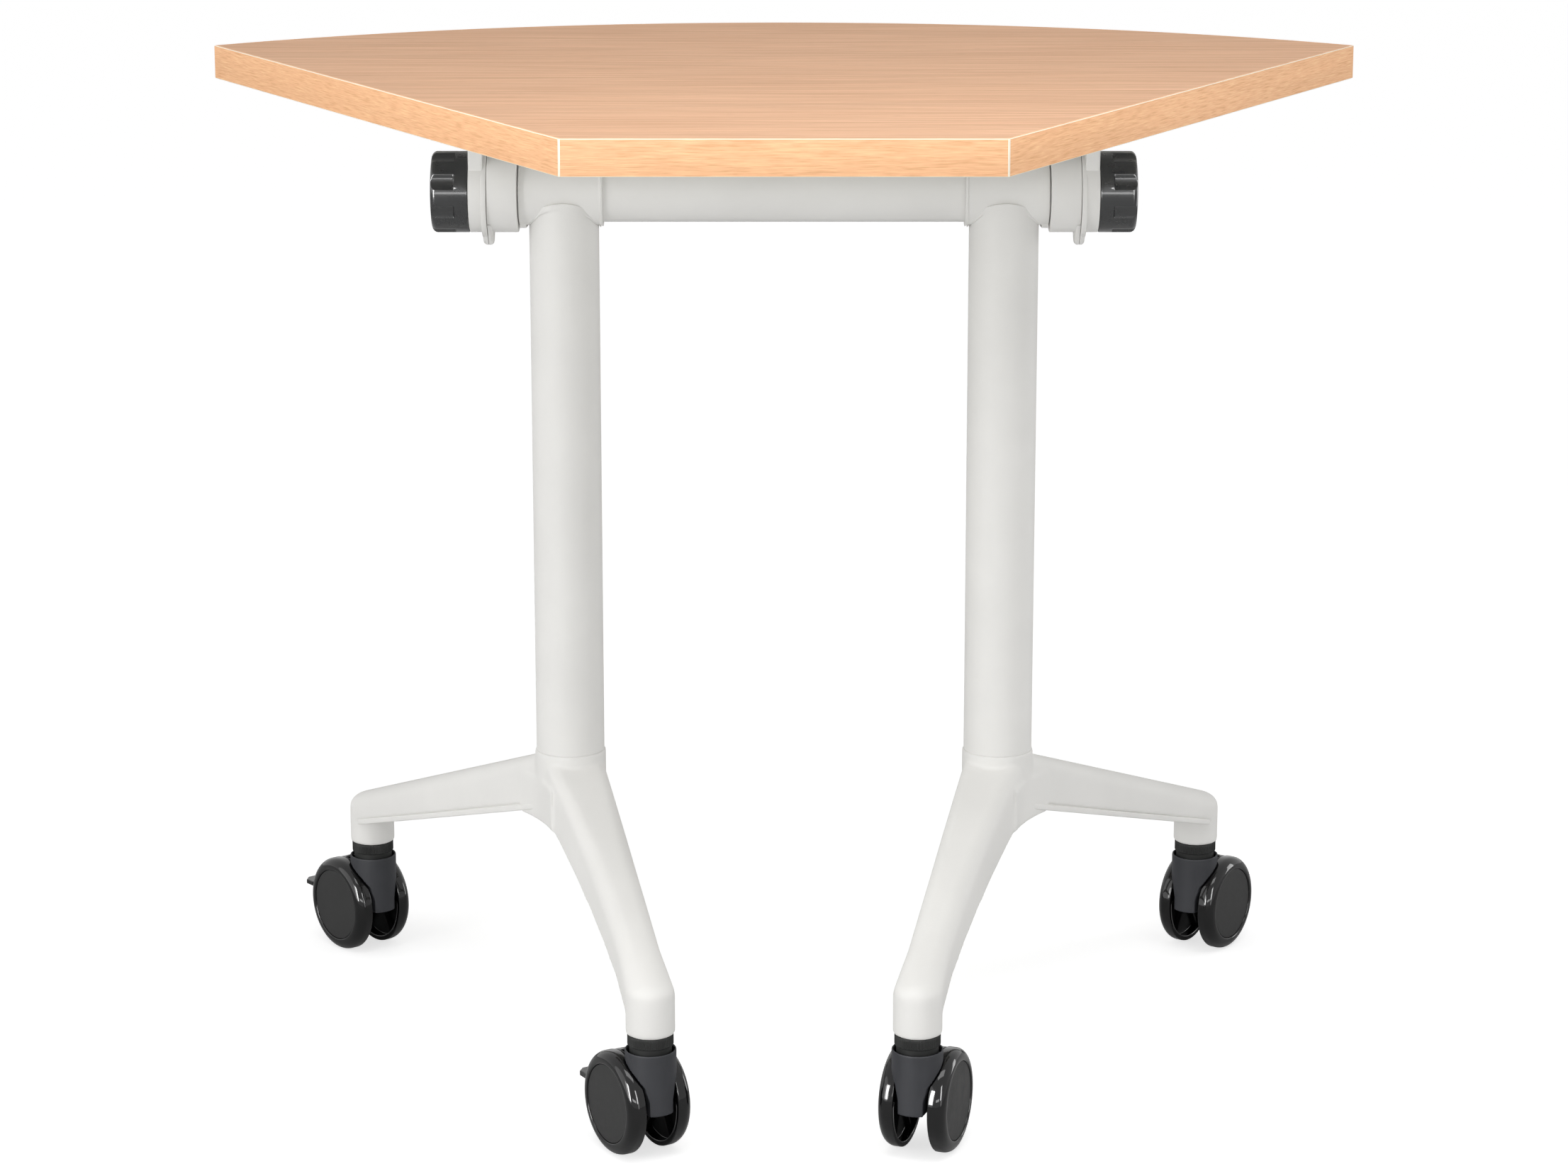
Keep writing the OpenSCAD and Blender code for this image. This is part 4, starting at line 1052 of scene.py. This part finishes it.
def wheel_profile():
    """Closed half section of a wheel: radius and distance from the middle of the caster."""
    bore, well, lip, shoulder = 4.05, 28.5, 1.1, 7.5
    web, ring, hub = CAP_SEAT - 3, WHEEL_IN + 1.5, WHEEL_IN + 0.3
    profile = [(bore, CAP_SEAT), (well, CAP_SEAT)]
    profile += corner_arc((well + lip, WHEEL_OUT - lip), lip, 180, 90, 5)
    profile += corner_arc((WHEEL_R - shoulder, WHEEL_OUT - shoulder), shoulder, 90, 0, 14)
    profile += corner_arc((WHEEL_R - 1, WHEEL_IN + 1), 1, 0, -90, 4)
    profile += corner_arc((34.1, WHEEL_IN + 0.6), 0.6, 270, 180, 3)
    profile += corner_arc((32.7, web - 0.8), 0.8, 0, 90, 3)
    # Toothed ring and hub that stand out of the web
    profile += [(15.4, web), (15.4, ring + 0.3), (15.1, ring)]
    profile += [(13.7, ring), (13.4, ring + 0.3), (13.4, web)]
    return profile + [(7.2, web), (7.2, hub + 0.4), (6.7, hub), (bore, hub)]


def fit_wheel(wheel, cap, place, name):
    body = f"{name}_roller"
    keys = ["wheel", "unpolished"]
    finish(wheel, f"{name}_rim", body, "caster_wheel_black", keys, f"{name}_wheel", place)
    finish(cap, f"{name}_disc", body, "wheel_cap_grey", ["cap"], f"{name}_cap", place)


def add_bar(bm, radii, width, levels, turn):
    low, high = zip(radii, (-width / 2, width / 2), levels)
    turn = Matrix.Rotation(radians(turn), 3, "Z")
    bmesh.ops.rotate(bm, verts=block(bm, low, high), cent=(0, 0, 0), matrix=turn)


class DESK_OT_wheels(bpy.types.Operator):
    """Caster wheels with their caps"""

    bl_idname = "desk.wheels"
    bl_label = "Wheels"

    def execute(self, context):
        bm = revolve(wheel_profile(), 128, True)
        # Spokes, and the brake teeth inside the ring
        spoke = ((6.2, 34.5), 1.8, (WHEEL_IN + 4, CAP_SEAT - 2))
        tooth = ((12.3, 13.9), 0.9, (WHEEL_IN + 1.7, WHEEL_IN + 8))
        for count, bar in ((6, spoke), (sizes().wheel_teeth, tooth)):
            for i in range(count):
                add_bar(bm, *bar, i * 360 / count)
        for face in bm.faces:
            middle = face.calc_center_median()
            face.material_index = int(middle.xy.length < 33.2 and middle.z < CAP_SEAT - 1)
        wheel = plain_mesh(bm)
        cap_r, edge, front = 28.3, 0.5, CAP_SEAT + CAP_T
        profile = [(0, CAP_SEAT), (cap_r, CAP_SEAT), (cap_r, front - edge)]
        profile += corner_arc((cap_r - edge, front - edge), edge, 20, 90, 3)
        dome = ((27, 0), (24, 0.05), (16, 0.15), (8, 0.22), (0, 0.25))
        profile += [(r, front + rise) for r, rise in dome]
        cap = plain_mesh(revolve(profile, 128, False))
        for name in CASTERS:
            for out, word in ((1, "outer"), (-1, "inner")):
                fit_wheel(wheel, cap, wheel_place(name, out), f"{name}_{word}")
            dress("steel", f"{name}_axle")
        return {"FINISHED"}


def housing_mesh():
    """Cup over the wheels and tongue between them, cut clear of the wheels."""
    wheel_axis, clear, reach = (TRAIL, WHEEL_R), WHEEL_R + 1.1, 40
    foot, roof = WHEEL_R + 9, CUP_TOP - 3
    cup, wheels = bmesh.new(), bmesh.new()
    rod(cup, CUP_R, foot, CUP_TOP, segments=128)
    rod(wheels, clear, BODY_HALF, reach, "Y", wheel_axis, 160)
    rod(wheels, clear, -reach, -BODY_HALF, "Y", wheel_axis, 160)
    cup = trimmed(cup, wheels)
    # Sides of the shield, drawn in to the tongue
    curve = [(20, 63), (14.5, 59), (11.7, 55), (10.6, 51), (TONGUE_HALF, foot)]
    section = [(20, 90), *curve, *[(-y, z) for y, z in reversed(curve)], (-20, 90)]
    shield = prism(bmesh.new(), section, -30, 30, "X")
    cup = trimmed(cup, shield, "INTERSECT")
    outline = [
        (-CUP_R, 36), (8, 36), (14, 29), (26, 29), (LEVER_X + 4, LEVER_Z - 4),
        (LEVER_X + 5.5, LEVER_Z + 2), (40, 63.5), (28, WHEEL_R + 35.5), (0, roof), (-CUP_R, roof),
    ]
    slab, keep, tool = bmesh.new(), bmesh.new(), bmesh.new()
    prism(slab, outline, -TONGUE_HALF, TONGUE_HALF, "Y")
    half = asin(TONGUE_HALF / CUP_R)
    plan = [(60, -TONGUE_HALF), (60, TONGUE_HALF)]
    plan += [p[:2] for p in rim_points(CUP_R, 0, (0, 0), 14, pi - half, 2 * half)]
    prism(keep, plan, 0, 90)
    slab = trimmed(slab, keep, "INTERSECT")
    append(slab, cup)
    rod(slab, 6.5, 0.3 - WHEEL_IN, WHEEL_IN - 0.3, "Y", wheel_axis, 64)
    rod(tool, CUP_R - 1.2, CUP_FLOOR, CUP_TOP + 1, segments=128)
    block(tool, (28, -6.5, 0), (95, 6.5, LEVER_Z + 16))
    return melted(trimmed(slab, tool), mm("moulded_voxel"), 3)


def hood_mesh():
    """Curved cover over the gap between the wheels."""
    half, low, high, curve = BODY_HALF, 33.9, 36.9, 0.8
    start, end = radians(27), radians(104)
    section = corner_arc((half - curve, high - curve), curve, 0, 90, 4)
    section += corner_arc((curve - half, high - curve), curve, 90, 180, 4)
    section += [(-half, low), (half, low)]
    points = [(r * cos(start), y, r * sin(start)) for y, r in section]
    bm = bmesh.new()
    sweep(bm, points, (0, -1, 0), end - start, 32, True)
    bmesh.ops.holes_fill(bm, edges=[e for e in bm.edges if e.is_boundary], sides=0)
    bmesh.ops.translate(bm, verts=bm.verts[:], vec=(TRAIL, 0, WHEEL_R))
    # Ramp from the cup down to the cover
    foot, crest, end = WHEEL_R + low, CUP_TOP - 2, TRAIL + 6
    side = [(12, foot), (12, crest), (16, crest - 0.4), (end, WHEEL_R + high - 0.8), (end, foot)]
    ramp = prism(bmesh.new(), side, 0.6 - half, half - 0.6, "Y")
    soften(ramp, 0.5, 2)
    append(bm, ramp)
    face_outwards(bm)
    return plain_mesh(bm)


def collar_solid():
    """Finely ribbed collar with the neck that stands in the cup."""
    radius, low, high = 16.4, COLLAR_LOW, COLLAR_TOP
    foot, neck, bore, groove = CUP_FLOOR + 0.3, 15.0, 5.5, 0.35
    profile = [(bore, foot), (neck, foot), (neck, low), (radius - 0.9, low)]
    profile += [(radius, z) for z in (low + 0.7, low + 2.5, high - 2.5, high - 0.5)]
    profile += [(radius - 0.5, high), (bore, high)]
    ribs = sizes().collar_ribs
    bm = revolve(profile, ribs * 4, True)
    for vert in bm.verts:
        if vert.co.xy.length > radius - 0.2:
            turn = atan2(vert.co.y, vert.co.x)
            vert.co.xy *= 1 - groove / radius * (0.5 - 0.5 * cos(ribs * turn))
    return bm


class DESK_OT_housings(bpy.types.Operator):
    """Caster housings, hoods and ribbed collars"""

    bl_idname = "desk.housings"
    bl_label = "Housings"

    def execute(self, context):
        collar, collars = collar_solid(), bmesh.new()
        pieces = (
            (housing_mesh(), "cup", "caster_housing_grey", "housing", 50),
            (hood_mesh(), "hood", "caster_wheel_black", "wheel", 40),
        )
        for name in CASTERS:
            place = caster_place(name)
            for mesh, word, slot, key, crease in pieces:
                body, node = f"{name}_caster", f"{name}_housing"
                finish(mesh, f"{name}_{word}", body, slot, [key], node, place, crease)
            turned = collar.copy()
            turned.transform(place)
            append(collars, turned)
        collar.free()
        mesh = plain_mesh(collars)
        finish(mesh, "ribbed_collars", "frame", "black_collar", ["collar"], "caster_collars")
        return {"FINISHED"}


class DESK_OT_brakes(bpy.types.Operator):
    """Brake levers of the two left casters"""

    bl_idname = "desk.brakes"
    bl_label = "Brake levers"

    def execute(self, context):
        near, far = TRAIL + WHEEL_R + 4, TRAIL + WHEEL_R + 18.5
        level, half_t, half, corner, arm_half = WHEEL_R + 5.5, 1.8, 19.0, 5.0, 6
        bm = rod(bmesh.new(), 4.6, -arm_half, arm_half, "Y", (LEVER_X, LEVER_Z), 48)
        rod(bm, 2, -TONGUE_HALF, TONGUE_HALF, "Y", (LEVER_X, LEVER_Z), 32)
        arm = [
            (LEVER_X - 1, LEVER_Z - 4.5), (near + 3, level - half_t),
            (near + 3, level + half_t), (LEVER_X + 2, LEVER_Z + 4.1),
        ]
        prism(bm, arm, -arm_half, arm_half, "Y")
        plan = [(near, -half), (far - corner, -half), (far, corner - half)]
        plan += [(x, -y) for x, y in reversed(plan)]
        prism(bm, plan, level - half_t, level + half_t)
        mesh = melted(bm, mm("moulded_voxel"), 2)
        for name in BRAKED:
            finish(
                mesh, f"{name}_pedal", f"{name}_brake", "black_collar", ["wheel"],
                f"{name}_brake_lever", caster_place(name), 50,
            )
        return {"FINISHED"}


def make_floor():
    bm = bmesh.new()
    bmesh.ops.create_grid(bm, x_segments=1, y_segments=1, size=40)
    floor = linked("floor", plain_mesh(bm))
    base = colours().floor
    # Matt seamless paper; the camera sees it lifted to white, with the shadow left in it
    constants = {"Emission Color": (1, 1, 1, 1), "Specular IOR Level": 0.0}
    paper, tree, shader, coords = surface("seamless_paper", base, 0.9, constants)
    seen = add(tree, "ShaderNodeLightPath").outputs["Is Camera Ray"]
    tone = tint(tree, pattern(tree, coords, 3, 3.0), 0, 1, shade(base, 0.985), base)
    tone = tint(tree, seen, 0, 1, tone, shade(base, 0.87))
    glow = add(tree, "ShaderNodeMath", {"operation": "MULTIPLY"}, {0: seen, 1: 0.66}).outputs[0]
    tree.links.new(tone, shader.inputs["Base Color"])
    tree.links.new(glow, shader.inputs["Emission Strength"])
    floor.data.materials.append(paper)


def make_world(scene):
    world = bpy.data.worlds.new("studio")
    scene.world = world
    world.use_nodes = True
    tree = world.node_tree
    base = tree.nodes["Background"]
    base.inputs["Color"].default_value = (1, 1, 1, 1)
    path = add(tree, "ShaderNodeLightPath").outputs
    seen = path["Is Camera Ray"]
    for ray in ("Is Glossy Ray", "Is Transmission Ray"):
        both = {0: seen, 1: path[ray]}
        seen = add(tree, "ShaderNodeMath", {"operation": "MAXIMUM"}, both).outputs[0]
    # Half strength as light, full strength where it is seen
    level = add(tree, "ShaderNodeMath", {"operation": "MULTIPLY_ADD"}, {0: seen, 1: 0.5, 2: 0.5})
    tree.links.new(level.outputs[0], base.inputs["Strength"])


def make_lamp(name, kind, place, target=(0, 0, 0.35), **settings):
    data = bpy.data.lights.new(name, kind)
    if kind == "AREA":
        data.shape = "RECTANGLE"
    for key, value in settings.items():
        setattr(data, key, value)
    lamp = linked(name, data)
    lamp.location = place
    lamp.visible_camera = False
    aim = Vector(target) - Vector(place)
    lamp.rotation_euler = aim.to_track_quat("-Z", "Y").to_euler()
    return lamp


def make_camera(scene):
    data = bpy.data.cameras.new("camera")
    data.sensor_width = 36.0
    data.sensor_fit = "HORIZONTAL"
    data.lens = sizes().camera_lens
    camera = linked("camera", data)
    camera.location = (0, CAMERA_Y, CAMERA_Z)
    data.shift_y = -0.04
    camera.rotation_euler = (radians(90) - sizes().camera_pitch, 0, 0)
    data.clip_end = 100
    scene.camera = camera


class DESK_OT_stage(bpy.types.Operator):
    """Pale floor, soft lights and the camera"""

    bl_idname = "desk.stage"
    bl_label = "Stage"

    def execute(self, context):
        make_floor()
        make_world(context.scene)
        make_lamp("key", "SUN", (-2.2, -1.0, 0.9), energy=0.95, angle=radians(60))
        make_lamp("overhead", "AREA", (0.15, -0.7, 1.6), (0.15, -0.7, 0), size=1.4, size_y=0.5, energy=9)
        # Soft boxes: place, width, height and power
        for name, place, width, height, power in (
            ("front", (0, -3.5, 0.9), 2.0, 0.3, 14),
            ("left_fill", (-1.9, -1.6, 0.8), 0.3, 1.2, 9),
            ("right_front", (1.5, -2.0, 0.5), 0.3, 1.2, 5),
            ("left_shine", (-1.7, -2.2, 1.0), 0.5, 1.5, 75),
            ("right_shine", (1.5, -2.5, 1.3), 0.5, 1.5, 40),
            ("right_fill", (2.0, 0.7, 0.3), 0.4, 1.2, 8),
        ):
            lamp = make_lamp(name, "AREA", place, size=width, size_y=height, energy=power)
            # The two strong ones only show as highlights on the polished black parts
            lamp.visible_diffuse = not name.endswith("shine")
        make_camera(context.scene)
        context.scene.view_settings.view_transform = "Standard"
        return {"FINISHED"}


OPERATORS = (
    DESK_OT_board, DESK_OT_clamp_rings, DESK_OT_beam, DESK_OT_knobs, DESK_OT_posts, DESK_OT_feet,
    DESK_OT_wheels, DESK_OT_housings, DESK_OT_brakes, DESK_OT_stage,
)


class DESK_PT_panel(bpy.types.Panel):
    """Lists the desk's operators and settings"""

    bl_idname = "DESK_PT_panel"
    bl_label = "Wedge Desk"
    bl_space_type = "VIEW_3D"
    bl_region_type = "UI"
    bl_category = "Desk"

    def draw(self, context):
        layout = self.layout
        for operator in OPERATORS:
            layout.operator(operator.bl_idname)
        for group in (context.scene.desk_sizes, context.scene.desk_colours):
            box = layout.box()
            for key in group.__annotations__:
                box.prop(group, key)


CLASSES = (DeskSizes, DeskColours, *OPERATORS, DESK_PT_panel)


def register():
    for item in CLASSES:
        bpy.utils.register_class(item)
    bpy.types.Scene.desk_sizes = PointerProperty(type=DeskSizes)
    bpy.types.Scene.desk_colours = PointerProperty(type=DeskColours)


def unregister():
    del bpy.types.Scene.desk_colours
    del bpy.types.Scene.desk_sizes
    for item in reversed(CLASSES):
        bpy.utils.unregister_class(item)


def main():
    register()
    for operator in OPERATORS:
        group, name = operator.bl_idname.split(".")
        getattr(getattr(bpy.ops, group), name)()


if __name__ == "__main__":
    main()
